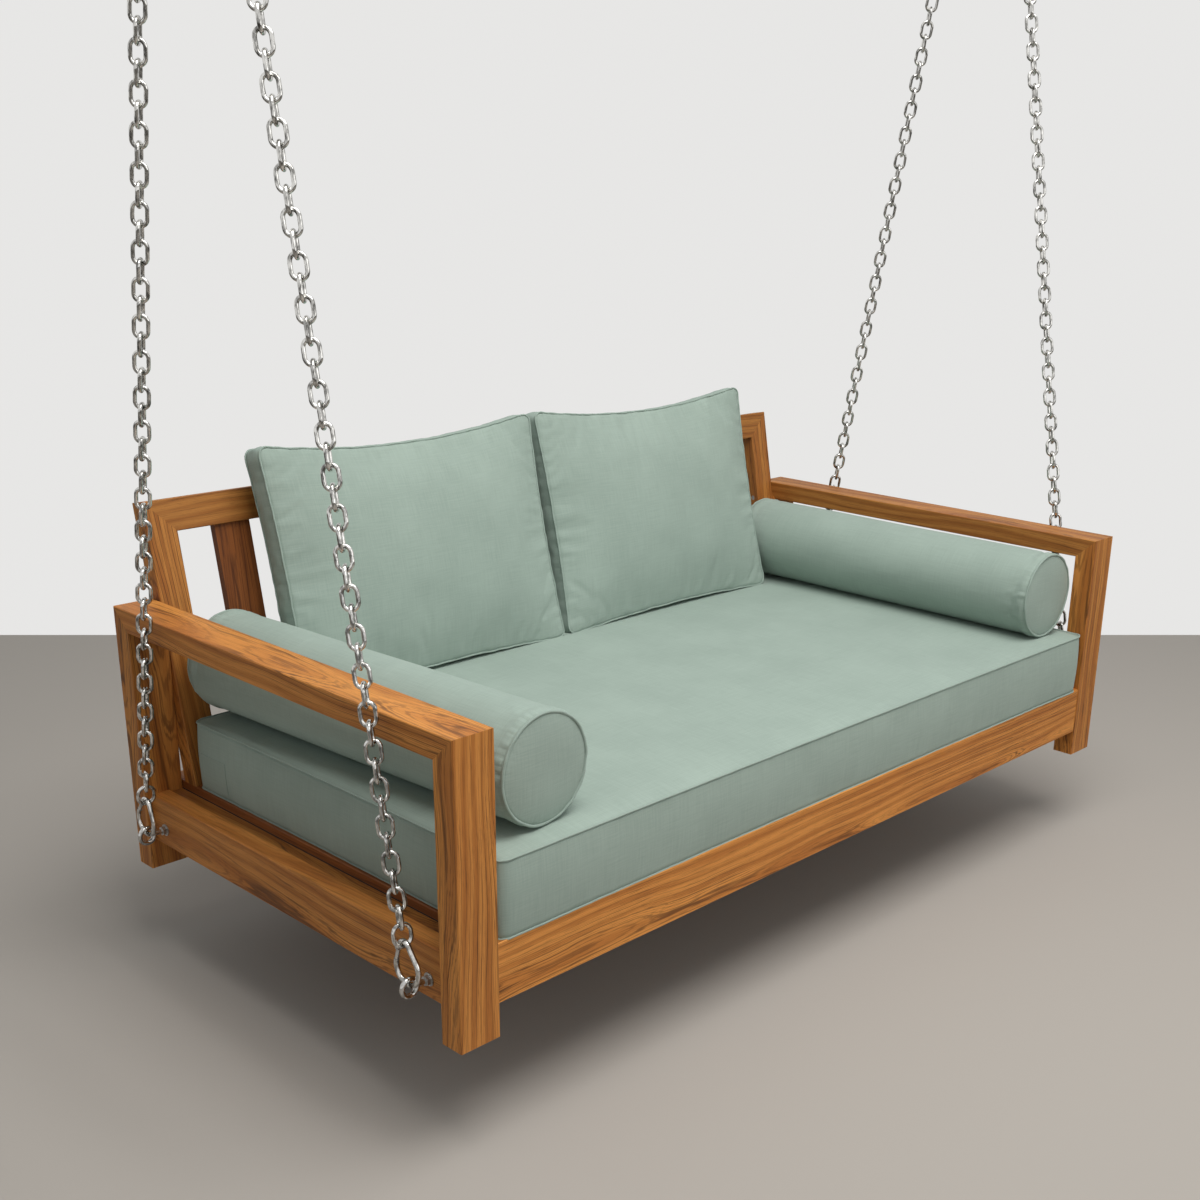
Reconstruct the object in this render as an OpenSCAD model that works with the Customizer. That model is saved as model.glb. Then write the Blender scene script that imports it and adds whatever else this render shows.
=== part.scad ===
// Hanging swing bed: a hardwood daybed frame with open arms, a leaning slatted back, a mattress,
// two back cushions and two bolsters, hung on four chains from ceiling eye plates.
// +X runs along the bed's long side, the front faces -Y and +Z is up.
// The origin lies on the ceiling, midway between the four eye plates.

/* [Bed frame] */
// Length of the bed over the outer faces of the arms
bed_length = 2120; // [1900:10:2300]
// Depth of the arms from front to back
bed_depth = 1072; // [980:4:1200]
// Height of the arms' top above the leg ends
arm_height = 564; // [530:2:620]
// Width of each post along the bed
post_width = 86; // [76:1:96]
// Depth of each post from front to back
post_depth = 52; // [46:1:60]
// Height of the arm rail
arm_rail_height = 47; // [42:1:56]
// Height of the rails' underside above the leg ends
rail_bottom = 63; // [45:1:80]
// Height of the front and rear rails
front_rail_height = 115; // [105:1:130]
// Height of the side rails
side_rail_height = 102; // [90:1:108]
// Thickness of the front, rear and side rails
rail_thickness = 42; // [36:1:46]
// Step between the posts' front faces and the front rail
front_setback = 2; // [1:0.5:5]
// Step between the arms' outer faces and the side rails
side_inset = 14; // [8:1:18]
// Width of the eased edge along each frame member
edge_ease = 1.5; // [0.5:0.25:3]
// Length of the tenons on the front and rear rails
rail_tenon_length = 26; // [18:1:28]
// Length of the tenons on the side rails
side_tenon_length = 20; // [14:1:24]
// Thickness of the rail tenons
tenon_thickness = 16; // [12:1:20]
// Shoulder above and below each rail tenon
tenon_shoulder = 16; // [10:1:22]
// Diameter of the dowels in the arm mitres
dowel_diameter = 10; // [8:1:12]
// Length of the dowels in the arm mitres
dowel_length = 40; // [30:2:44]

/* [Back] */
// Lean of the back from upright, in degrees
back_lean = 10.6; // [7:0.2:14]
// Height of the back above the arms
back_rise = 198; // [150:2:240]
// Distance from the arms' rear faces forward to the back's face, at arm height
back_inset = 34; // [26:1:40]
// Thickness of the back frame
back_thickness = 43; // [38:1:48]
// Width of the back's two stiles
stile_width = 66; // [56:1:76]
// Width of the back's top rail
back_rail_width = 67; // [56:1:76]
// Width of the back's bottom rail
back_foot_width = 60; // [50:1:70]
// Number of slats in the back
back_slat_count = 10; // [7:1:12]
// Width of a back slat
back_slat_width = 83; // [60:1:90]
// Thickness of a back slat
back_slat_thickness = 18; // [14:1:20]
// Step from the back's face to its slats
back_slat_recess = 10; // [6:1:14]
// Depth that a back slat is housed in each rail
back_slat_housing = 12; // [8:1:18]
// Diameter of the back's fixing bolts
back_bolt_diameter = 8; // [6:1:10]
// Length of the back's fixing bolts
back_bolt_length = 90; // [70:5:110]
// Distance from the arm's top down to the upper bolt of the back
back_bolt_drop = 40; // [30:1:60]
// Distance between the two bolts on each side of the back
back_bolt_spacing = 70; // [50:1:90]

/* [Seat deck] */
// Number of slats in the deck
deck_slat_count = 13; // [9:1:14]
// Width of a deck slat
deck_slat_width = 76; // [60:1:90]
// Thickness of a deck slat
deck_slat_thickness = 18; // [14:1:22]
// Width of the ledgers that carry the deck slats
ledger_width = 30; // [24:1:36]
// Height of the ledgers
ledger_height = 32; // [24:1:38]
// Height of the beam under the deck
beam_height = 78; // [60:1:84]
// Thickness of the beam under the deck
beam_thickness = 40; // [32:1:50]
// Height of the ledges that close the gap between the deck and the side rails
ledge_height = 32; // [24:1:36]

/* [Mattress and cushions] */
// Thickness of the mattress at its edge
mattress_thickness = 144; // [110:2:170]
// Space between the mattress and each arm
mattress_side_gap = 9; // [6:1:20]
// Step from the posts' front faces to the mattress
mattress_front_gap = 5; // [4:1:20]
// Space between the mattress and the foot of the back
mattress_rear_gap = 4; // [3:1:20]
// Rise of the mattress top from its edge to its middle
mattress_crown = 14; // [8:1:24]
// Inward draw of the mattress sides between corners
mattress_draw = 5; // [2:0.5:6]
// Space between a back cushion's outer seam and the bolster beside it
cushion_side_gap = 6.5; // [4:0.5:60]
// Height of a back cushion along its face
cushion_height = 543; // [440:1:580]
// Width of a back cushion's side band
cushion_band = 52; // [40:1:60]
// Rise of a back cushion's front face from its edge to its middle
cushion_crown = 46; // [30:1:60]
// Rise of a back cushion's rear face, which the back presses flat
cushion_back_crown = 62; // [50:1:70]
// Inward draw of a back cushion's upright edges between corners
cushion_draw = 12; // [6:1:16]
// Dip of a back cushion's top edge between corners
cushion_dip = 32; // [16:1:40]
// Rise of a back cushion's bottom edge between corners
cushion_arch = 17; // [6:1:24]
// Lean of the back cushions from upright, in degrees
cushion_lean = 13.4; // [12:0.2:16]
// Distance from a back cushion's foot to the back's face
cushion_stand_off = 124; // [110:1:130]
// Space between the two back cushions
cushion_gap = 17; // [10:1:40]
// Diameter of a bolster
bolster_diameter = 212; // [160:1:214]
// Distance from the mattress's front edge to a bolster's end
bolster_front_gap = 46; // [30:1:60]
// Space between a bolster's rear end and the back, where they are closest
bolster_rear_gap = 11; // [8:1:60]
// Space between a bolster and the arm
bolster_arm_gap = 3; // [1:0.5:8]
// Turn of the left bolster, whose front end lies nearer the middle, in degrees
bolster_turn = 3; // [0:0.1:3]
// Swell of a bolster's round ends
bolster_dome = 7; // [3:0.5:14]

/* [Chains] */
// Number of links in each chain
chain_links = 56; // [44:2:64]
// Wire diameter of a link
link_wire = 7.5; // [6.5:0.25:7.75]
// Outer length of a link
link_length = 47; // [44:0.5:52]
// Outer width of a link
link_width = 32.5; // [32:0.5:36]
// Outer width of the last link, which hangs on a snap hook
end_link_width = 40; // [34:0.5:42]
// Twist of a chain between its two ends, in degrees
chain_twist = 45; // [0:5:50]
// Twist from one link to the next near a chain's ends, in degrees
link_twist = 11; // [5:1:12]
// Distance from a post to the middle of the eye bolt beside it
eye_post_gap = 47; // [40:1:60]
// Distance between the front and rear ceiling eyes
ceiling_spacing = 244; // [180:4:600]
// Clearance between two pieces that hang on each other
hang_gap = 0.3; // [0.2:0.05:0.4]

/* [Chain fittings] */
// Wire diameter of an eye
eye_wire = 10; // [9:0.5:11]
// Inner diameter of an eye
eye_bore = 22; // [21:0.5:26]
// Distance from a side rail's outer face to the middle of its eye
eye_reach = 42; // [38:1:50]
// Height of an eye above the side rail's underside
eye_rise = 37; // [30:1:52]
// Diameter of an eye bolt's shank
shank_diameter = 10; // [9:0.5:12]
// Width of a nut across its flats
nut_width = 17; // [15:1:19]
// Height of a nut
nut_height = 8; // [6:0.5:9]
// Diameter of a washer
washer_diameter = 25; // [22:1:30]
// Thickness of a washer
washer_thickness = 2; // [1.5:0.25:3]
// Wire diameter of a snap hook
hook_wire = 10; // [9:0.5:10.5]
// Overall width of a snap hook at its wide end
hook_width = 70; // [66:1:74]
// Overall width of a snap hook at its narrow end
hook_neck = 38; // [36:1:42]
// Slope of a snap hook's sides, in degrees
hook_slope = 27; // [24:0.5:30]
// Clearance between a snap hook and the eye that it carries
hook_seat_gap = 0.6; // [0.6:0.05:0.8]
// Diameter of a snap hook's gate
gate_wire = 8; // [7:0.5:8.5]
// Diameter of a gate's rivet
rivet_diameter = 3; // [2.5:0.25:3.5]
// Diameter of a ceiling plate
plate_diameter = 84; // [76:2:100]
// Thickness of a ceiling plate
plate_thickness = 6; // [5:0.5:8]
// Diameter of the circle of screw holes in a ceiling plate
plate_hole_circle = 62; // [56:1:70]
// Diameter of a screw hole in a ceiling plate
plate_hole = 6.6; // [5:0.2:8]
// Length of the neck between a ceiling plate and its eye
plate_neck = 10; // [8:1:16]

/* [Hidden] */
$fn = 48;

// Clearance of wood in a mortise, a housing or a dowel hole
wood_gap = 0.2;
// Space that a soft piece leaves to what it rests on or leans against
rest_gap = 0.3;
// Running clearance of a gate on its rivet
rivet_gap = 0.05;
// Overrun of a cutting shape past the face that it cuts
over = 1;

// Bed frame
half_length = bed_length / 2;
half_depth = bed_depth / 2;
inner_x = half_length - post_width;
inner_y = half_depth - post_depth;
rail_top = rail_bottom + front_rail_height;
arm_underside = arm_height - arm_rail_height;
side_outer_x = half_length - side_inset;
side_inner_x = side_outer_x - rail_thickness;
rail_outer_y = half_depth - front_setback;
rail_inner_y = rail_outer_y - rail_thickness;
deck_underside = rail_top - deck_slat_thickness;
dowel_y = inner_y + 0.3 * post_depth;
dowel_middle_z = arm_underside + 0.3 * arm_rail_height;
dowel_spread = post_width / 4;

// Back
back_face_y = half_depth - back_inset;
back_half = inner_x - rest_gap;
back_top = back_rise / cos(back_lean);
back_foot_top = (rail_top + back_foot_width - arm_height) / cos(back_lean);
back_foot_low = (rail_top - arm_height) / cos(back_lean) - back_thickness;
back_open_half = back_half - stile_width;
back_slat_gap = (2 * back_open_half - back_slat_count * back_slat_width) / (back_slat_count + 1);
back_bolt_inset = 0.47 * back_thickness;
back_bolt_heights = [arm_height - back_bolt_drop, arm_height - back_bolt_drop - back_bolt_spacing];

// Mattress
mattress_half = inner_x - mattress_side_gap;
mattress_low = rail_top + rest_gap;
mattress_top = mattress_low + mattress_thickness;
mattress_front_y = -half_depth + mattress_front_gap;
back_foot_y = back_face_y - (arm_height - rail_top) * tan(back_lean);
mattress_rear_y = back_foot_y - mattress_rear_gap;
mattress_depth = mattress_rear_y - mattress_front_y;
mattress_middle_y = (mattress_rear_y + mattress_front_y) / 2;

// Bolsters
bolster_radius = bolster_diameter / 2;
bolster_x = inner_x - bolster_arm_gap - bolster_radius;
bolster_y = mattress_front_y + bolster_front_gap;
bolster_rear_y = back_face_y - (arm_height - mattress_top) * tan(back_lean) - bolster_rear_gap;
bolster_length = bolster_rear_y - bolster_y;

// Back cushions: their front foot stands on the mattress where its crown is this high
cushion_foot_y = back_face_y - (arm_height - mattress_top) * tan(back_lean) - cushion_stand_off;
cushion_low = mattress_top + rest_gap
    + mattress_crown * swell(2 * (cushion_foot_y - mattress_middle_y) / mattress_depth);
cushion_wall_y = back_face_y - (arm_height - cushion_low) * tan(back_lean) - cushion_foot_y
    - rest_gap / cos(back_lean);
cushion_width = bolster_x - bolster_radius - cushion_side_gap - cushion_gap / 2;
cushion_x = (cushion_width + cushion_gap) / 2;

// Chains and their fittings: a hook is two arcs joined by straight sides, and lengths along a
// chain's line start at the top wire of its eye bolt
hook_wide = (hook_width - hook_wire) / 2;
hook_narrow = (hook_neck - hook_wire) / 2;
hook_reach = (hook_wide - hook_narrow) / sin(hook_slope);
hook_side = hook_reach * cos(hook_slope);
hook_height = hook_wide + hook_reach + hook_narrow;
eye_radius = (eye_bore + eye_wire) / 2;
eye_x = side_outer_x + eye_reach;
eye_y = inner_y - eye_post_gap;
eye_z = rail_bottom + eye_rise;
hook_low = -(eye_wire + hook_wire) / 2 - hook_seat_gap;
first_link_low = hook_low + hook_height - (hook_wire + link_wire) / 2 - hang_gap;
link_height = link_length - link_wire;
link_pitch = link_height - link_wire - hang_gap;
chain_top = first_link_low + (chain_links - 1) * link_pitch + link_height;
chain_run = chain_top - (eye_wire + link_wire) / 2 - hang_gap;
chain_lean = asin((eye_y - ceiling_spacing / 2) / chain_run);
ceiling_eye_z = eye_z + eye_radius + chain_run * cos(chain_lean);
ceiling_z = ceiling_eye_z + 2 * eye_radius + plate_neck + plate_thickness;

// A hook's lug, on which its gate turns
hook_lug = 0.6 * hook_wire;
lug_thickness = 0.4 * hook_wire;
lug_gap = 0.2;

// Fixed points that the joints of the part use, in the part's own frame
echo(swing_pivot = [eye_x, ceiling_spacing / 2, ceiling_eye_z - ceiling_z]);
echo(bed_pivot = [eye_x, eye_y, eye_z + eye_radius - ceiling_z]);
echo(chain_lean = chain_lean, chain_run = chain_run, ceiling = ceiling_z);
echo(gate_pivot_front = gate_pivot(-1), gate_pivot_rear = gate_pivot(1));

// Where a gate's rivet lies for the front (-1) or rear (1) hooks
function gate_pivot(side) =
    let(
        along = hook_side - hook_lug,
        y = hook_wide * cos(hook_slope) - along * sin(hook_slope),
        z = hook_low + hook_wide + hook_wide * sin(hook_slope) + along * cos(hook_slope),
        lean = side * chain_lean
    )
    [eye_x, side * eye_y + y * cos(lean) - z * sin(lean),
        eye_z + eye_radius + y * sin(lean) + z * cos(lean) - ceiling_z];

// Height of a bolster's axis: it lies on the mattress's crown, halfway along
function bolster_z(turn) = mattress_top + rest_gap + bolster_radius
    + mattress_crown * swell((bolster_x - bolster_length / 2 * sin(turn)) / mattress_half);

// Share of the crown at a distance from the middle, where 1 is the edge
function swell(share) = pow(1 - pow(min(1, abs(share)), 2.4), 0.6);

// ---- Helpers ----

// Puts what is modelled from the leg ends upwards under the ceiling
module hung() {
    translate([0, 0, -ceiling_z]) children();
}

// A rectangle with its four corners eased, from its low corner
module eased_rectangle(width, depth, ease = edge_ease) {
    polygon([
        [ease, 0], [width - ease, 0], [width, ease], [width, depth - ease],
        [width - ease, depth], [ease, depth], [0, depth - ease], [0, ease]
    ]);
}

// A bar along X, Y or Z with its long edges eased, from its low corner
module bar_x(size) {
    translate([0, size.y, 0]) rotate([90, 0, 90]) mirror([1, 0, 0])
        linear_extrude(size.x) eased_rectangle(size.y, size.z);
}

module bar_y(size) {
    translate([0, size.y, 0]) rotate([90, 0, 0])
        linear_extrude(size.y) eased_rectangle(size.x, size.z);
}

module bar_z(size) {
    linear_extrude(size.z) eased_rectangle(size.x, size.y);
}

// A cylinder along X between two places
module rod_x(from, to, radius) {
    translate([from, 0, 0]) rotate([0, 90, 0]) cylinder(h = to - from, r = radius);
}

// A ring of round wire in the XZ plane
module ring_xz(radius, wire) {
    rotate([90, 0, 0]) rotate_extrude() translate([radius, 0]) circle(d = wire);
}

// An arc of round wire in the YZ plane, from +Y round towards +Z
module arc_yz(radius, wire, sweep) {
    rotate([90, 0, 90]) rotate_extrude(angle = sweep) translate([radius, 0]) circle(d = wire);
}

// ---- Bed frame ----

// The outline of a post seen from the side, with its mitred head
module post_outline() {
    polygon([
        [-half_depth, 0], [-inner_y, 0], [-inner_y, arm_underside], [-half_depth, arm_height]
    ]);
}

// The front left post, with mortises for the front rail and the side rail and holes for dowels
module front_left_post() {
    difference() {
        intersection() {
            translate([-half_length, 0, 0]) rotate([90, 0, 90])
                linear_extrude(post_width) post_outline();
            translate([-half_length, -half_depth, 0])
                bar_z([post_width, post_depth, arm_height]);
        }
        front_rail_tenon(-1, wood_gap);
        side_rail_tenon(-1, wood_gap);
        post_dowels(wood_gap / 2);
    }
}

module at_each_corner(left, front) {
    mirror([left ? 0 : 1, 0, 0]) mirror([0, front ? 0 : 1, 0]) children();
}

module post(left, front) {
    color("peru") hung() at_each_corner(left, front) front_left_post();
}

// The two dowels of the front left mitre
module post_dowels(grow = 0) {
    for (side = [-1, 1])
        translate([-half_length + post_width / 2 + side * dowel_spread, -dowel_y,
            dowel_middle_z - dowel_length / 2 - grow])
            cylinder(h = dowel_length + 2 * grow, d = dowel_diameter + 2 * grow);
}

module arm_dowels() {
    color("burlywood") hung()
        for (left = [true, false], front = [true, false])
            at_each_corner(left, front) post_dowels();
}

// A tenon of the front rail at one end, grown by a clearance for its mortise
module front_rail_tenon(end, grow = 0) {
    length = rail_tenon_length + grow;
    middle_y = -(rail_outer_y + rail_inner_y) / 2;
    translate([end < 0 ? -inner_x - length : inner_x - over, middle_y - tenon_thickness / 2 - grow,
        rail_bottom + tenon_shoulder - grow])
        cube([length + over, tenon_thickness + 2 * grow,
            front_rail_height - 2 * tenon_shoulder + 2 * grow]);
}

// A tenon of the left side rail at one end, grown by a clearance for its mortise
module side_rail_tenon(end, grow = 0) {
    length = side_tenon_length + grow;
    middle_x = -(side_outer_x + side_inner_x) / 2;
    translate([middle_x - tenon_thickness / 2 - grow, end < 0 ? -inner_y - length : inner_y - over,
        rail_bottom + tenon_shoulder - grow])
        cube([tenon_thickness + 2 * grow, length + over,
            side_rail_height - 2 * tenon_shoulder + 2 * grow]);
}

module rail_across(front) {
    color("peru") hung() mirror([0, front ? 0 : 1, 0]) {
        translate([-inner_x, -rail_outer_y, rail_bottom])
            bar_x([2 * inner_x, rail_thickness, front_rail_height]);
        for (end = [-1, 1])
            front_rail_tenon(end);
    }
}

module side_rail(left) {
    color("peru") hung() mirror([left ? 0 : 1, 0, 0]) difference() {
        union() {
            translate([-side_outer_x, -inner_y, rail_bottom])
                bar_y([rail_thickness, 2 * inner_y, side_rail_height]);
            for (end = [-1, 1])
                side_rail_tenon(end);
        }
        for (side = [-1, 1])
            translate([0, side * eye_y, eye_z])
                rod_x(-side_outer_x - over, -side_inner_x + over, shank_diameter / 2 + wood_gap);
    }
}

module arm_rail(left) {
    color("peru") hung() mirror([left ? 0 : 1, 0, 0]) difference() {
        intersection() {
            translate([-half_length, 0, 0]) rotate([90, 0, 90]) linear_extrude(post_width)
                polygon([
                    [-half_depth, arm_height], [-inner_y, arm_underside],
                    [inner_y, arm_underside], [half_depth, arm_height]
                ]);
            translate([-half_length, -half_depth, arm_underside])
                bar_y([post_width, bed_depth, arm_rail_height]);
        }
        for (front = [true, false])
            at_each_corner(true, front) post_dowels(wood_gap / 2);
    }
}

// ---- Seat deck ----

module ledger(front) {
    color("tan") hung() mirror([0, front ? 0 : 1, 0])
        translate([-inner_x, -rail_inner_y, deck_underside - ledger_height])
            bar_x([2 * inner_x, ledger_width, ledger_height]);
}

// The ledge that closes the gap between the deck and a side rail and carries the beam's end
module side_ledge(left) {
    color("peru") hung() mirror([left ? 0 : 1, 0, 0])
        translate([-side_inner_x, -inner_y, deck_underside - ledge_height])
            bar_y([side_inner_x - inner_x, 2 * inner_y, ledge_height]);
}

module deck_beam() {
    color("tan") hung()
        translate([-inner_x, -beam_thickness / 2, deck_underside - beam_height])
            bar_x([2 * inner_x, beam_thickness, beam_height]);
}

module deck_slats() {
    first = -inner_x + rest_gap;
    step = (2 * (inner_x - rest_gap) - deck_slat_width) / (deck_slat_count - 1);
    color("burlywood") hung()
        for (i = [0:deck_slat_count - 1])
            translate([first + i * step, -rail_inner_y + rest_gap, deck_underside])
                bar_y([deck_slat_width, 2 * (rail_inner_y - rest_gap), deck_slat_thickness]);
}

// ---- Back ----

// Puts what is drawn in the plane of the back's face, with Z up its slope, in its place
module on_back() {
    translate([0, back_face_y, arm_height]) rotate([-back_lean, 0, 0]) children();
}

// A flat outline in the back's plane, made as thick as the back
module back_board(points) {
    translate([0, back_thickness, 0]) rotate([90, 0, 0])
        linear_extrude(back_thickness) polygon(points);
}

// Keeps what stands above the deck
module above_deck() {
    intersection() {
        children();
        translate([-half_length, -half_depth, rail_top])
            cube([bed_length, 2 * bed_depth, 2 * arm_height + back_rise]);
    }
}

// The back's slats, grown by a clearance for their housings
module back_slat_solids(grow = 0) {
    low = back_foot_top - back_slat_housing - grow;
    high = back_top - back_rail_width + back_slat_housing + grow;
    for (i = [0:back_slat_count - 1])
        translate([
            -back_open_half + back_slat_gap + i * (back_slat_width + back_slat_gap) - grow,
            back_slat_recess - grow, low
        ])
            cube([back_slat_width + 2 * grow, back_slat_thickness + 2 * grow, high - low]);
}

module back_slats() {
    color("sienna") hung() on_back() back_slat_solids();
}

module back_top_rail() {
    color("peru") hung() on_back() difference() {
        intersection() {
            back_board([
                [-back_half, back_top], [-back_open_half, back_top - back_rail_width],
                [back_open_half, back_top - back_rail_width], [back_half, back_top]
            ]);
            translate([-back_half, 0, back_top - back_rail_width])
                bar_x([2 * back_half, back_thickness, back_rail_width]);
        }
        back_slat_solids(wood_gap);
    }
}

module back_bottom_rail() {
    color("peru") hung() above_deck() on_back() difference() {
        back_board([
            [-back_open_half, back_foot_low], [back_open_half, back_foot_low],
            [back_open_half, back_foot_top], [-back_open_half, back_foot_top]
        ]);
        back_slat_solids(wood_gap);
    }
}

module back_stile(left) {
    color("peru") hung() mirror([left ? 0 : 1, 0, 0]) difference() {
        above_deck() on_back() intersection() {
            back_board([
                [-back_half, back_foot_low], [-back_open_half, back_foot_low],
                [-back_open_half, back_top - back_rail_width], [-back_half, back_top]
            ]);
            translate([-back_half, 0, back_foot_low])
                bar_z([stile_width, back_thickness, back_top - back_foot_low]);
        }
        back_bolt_solids(wood_gap / 2);
    }
}

// The bolts that join the left stile to its post, with their heads sunk in the stile
module back_bolt_solids(grow = 0) {
    head = back_bolt_diameter;
    for (z = back_bolt_heights)
        translate([0, back_face_y + (z - arm_height) * tan(back_lean) + back_bolt_inset, z]) {
            rod_x(-back_open_half - head - back_bolt_length - grow, -back_open_half - head + over,
                back_bolt_diameter / 2 + grow);
            rod_x(-back_open_half - head, -back_open_half + (grow > 0 ? over : -over),
                0.8 * back_bolt_diameter + grow);
        }
}

module back_bolts() {
    color("silver") hung()
        for (left = [true, false])
            mirror([left ? 0 : 1, 0, 0]) back_bolt_solids();
}

// A rear post with the holes of the back's bolts
module rear_post(left) {
    color("peru") hung() mirror([left ? 0 : 1, 0, 0]) difference() {
        mirror([0, 1, 0]) front_left_post();
        back_bolt_solids(wood_gap / 2);
    }
}

// ---- Eye bolts ----

module eye_bolt() {
    end = eye_reach + rail_thickness + washer_thickness + nut_height + 2;
    ring_xz(eye_radius, eye_wire);
    rod_x(eye_radius, end, shank_diameter / 2);
}

module washer() {
    rotate([0, 90, 0]) difference() {
        cylinder(h = washer_thickness, d = washer_diameter);
        translate([0, 0, -over])
            cylinder(h = washer_thickness + 2 * over, d = shank_diameter + 2 * rivet_gap);
    }
}

module nut() {
    rotate([0, 90, 0]) difference() {
        cylinder(h = nut_height, d = nut_width / cos(30), $fn = 6);
        translate([0, 0, -over])
            cylinder(h = nut_height + 2 * over, d = shank_diameter + 2 * rivet_gap);
    }
}

// Repeats a piece at the four eye bolts, +X pointing into the bed
module at_eyes() {
    for (left = [true, false], side = [-1, 1])
        mirror([left ? 0 : 1, 0, 0]) translate([-eye_x, side * eye_y, eye_z]) children();
}

module eye_bolts() {
    color("silver") hung() at_eyes() eye_bolt();
}

module eye_bolt_washers() {
    color("gainsboro") hung() at_eyes() {
        translate([eye_reach - washer_thickness, 0, 0]) washer();
        translate([eye_reach + rail_thickness, 0, 0]) washer();
    }
}

module eye_bolt_nuts() {
    color("gainsboro") hung() at_eyes() {
        translate([eye_reach - washer_thickness - nut_height, 0, 0]) nut();
        translate([eye_reach + rail_thickness + washer_thickness, 0, 0]) nut();
    }
}

// ---- Chains ----

// Puts a piece on one chain's line: the origin at its eye bolt's top wire, Z up the chain
module on_chain(left, front) {
    side = front ? -1 : 1;
    translate([(left ? -1 : 1) * eye_x, side * eye_y, eye_z + eye_radius])
        rotate([side * chain_lean, 0, 0]) children();
}

// One link in the XZ plane, its lower wire at the origin
module link(width) {
    radius = (width - link_wire) / 2;
    straight = link_height - 2 * radius;
    for (end = [0, 1])
        translate([0, 0, radius + end * straight]) rotate([90, end * 180 - 180, 0])
            rotate_extrude(angle = 180) translate([radius, 0]) circle(d = link_wire);
    for (side = [-1, 1])
        translate([side * radius, 0, radius]) cylinder(h = straight, d = link_wire);
}

// Every second link stands across the last. A chain's first links turn it to its twist, and its
// last links turn it back again
function link_turn(i) = (i % 2) * 90
    - min(chain_twist, link_twist * (i + 1), link_twist * (chain_links - i));

module chain(left, front) {
    color("silver") hung() on_chain(left, front)
        for (i = [0:chain_links - 1])
            translate([0, 0, first_link_low + i * link_pitch]) rotate([0, 0, link_turn(i)])
                link(i == 0 ? end_link_width : link_width);
}

// ---- Snap hooks ----

// Puts a piece on the hook's gate side: Z runs from the nose up the straight to the neck
module on_gate_side() {
    translate([0, 0, hook_low + hook_wide]) rotate([hook_slope, 0, 0])
        translate([0, hook_wide, 0]) children();
}

module snap_hook(left, front) {
    color("silver") hung() on_chain(left, front) {
        mirror([0, 1, 0]) on_gate_side() {
            cylinder(h = hook_side, d = hook_wire);
            translate([0, -hook_wide, 0]) mirror([0, 0, 1])
                arc_yz(hook_wide, hook_wire, 180 + 2 * hook_slope);
            translate([0, -hook_narrow, hook_side])
                arc_yz(hook_narrow, hook_wire, 180 - 2 * hook_slope);
        }
        on_gate_side() translate([0, 0, hook_side - hook_lug]) {
            intersection() {
                cylinder(h = hook_lug + over, d = 0.9 * hook_wire);
                translate([-lug_thickness / 2, -hook_wire, 0])
                    cube([lug_thickness, 2 * hook_wire, hook_lug + over]);
            }
            rod_x(-lug_thickness / 2, lug_thickness / 2, 0.4 * hook_wire);
            rod_x(-hook_wire / 2 - over, hook_wire / 2 + over, rivet_diameter / 2);
        }
    }
}

module hook_gate(left, front) {
    lug_z = hook_side - hook_lug;
    color("gainsboro") hung() on_chain(left, front) on_gate_side() difference() {
        union() {
            translate([0, 0, hang_gap]) cylinder(h = lug_z - hang_gap, d = gate_wire);
            translate([0, 0, lug_z]) rod_x(-hook_wire / 2, hook_wire / 2, hook_wire / 2 - lug_gap);
        }
        translate([0, 0, lug_z]) {
            rod_x(-lug_thickness / 2 - lug_gap, lug_thickness / 2 + lug_gap,
                hook_wire / 2 + lug_gap);
            rod_x(-hook_wire, hook_wire, rivet_diameter / 2 + rivet_gap);
        }
    }
}

// ---- Ceiling plates ----

module ceiling_plate(left, front) {
    x = (left ? -1 : 1) * eye_x;
    y = (front ? -1 : 1) * ceiling_spacing / 2;
    color("silver") translate([x, y, 0]) {
        difference() {
            translate([0, 0, -plate_thickness]) cylinder(h = plate_thickness, d = plate_diameter);
            for (turn = [45:90:315])
                rotate([0, 0, turn]) translate([plate_hole_circle / 2, 0, -plate_thickness - over])
                    cylinder(h = plate_thickness + 2 * over, d = plate_hole);
        }
        translate([0, 0, ceiling_eye_z - ceiling_z + eye_radius]) ring_xz(eye_radius, eye_wire);
        translate([0, 0, ceiling_eye_z - ceiling_z + 2 * eye_radius])
            cylinder(h = plate_neck, d = shank_diameter);
    }
}

// ---- Mattress and cushions ----

// Places round the rim of a grid, in order
function rim(nx, ny) = concat(
    [for (i = [0:nx - 1]) [i, 0]], [for (j = [0:ny - 1]) [nx, j]],
    [for (i = [nx:-1:1]) [i, ny]], [for (j = [ny:-1:1]) [0, j]]
);

// Points on a grid, closer together towards its edges
function spread(i, n) = sin(90 * (2 * i / n - 1));

// A place across a cushion at a share of its half width, with the edge drawn in between corners
function drawn(share, half, draw, across) = share * (half - draw * (1 - across * across));

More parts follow.
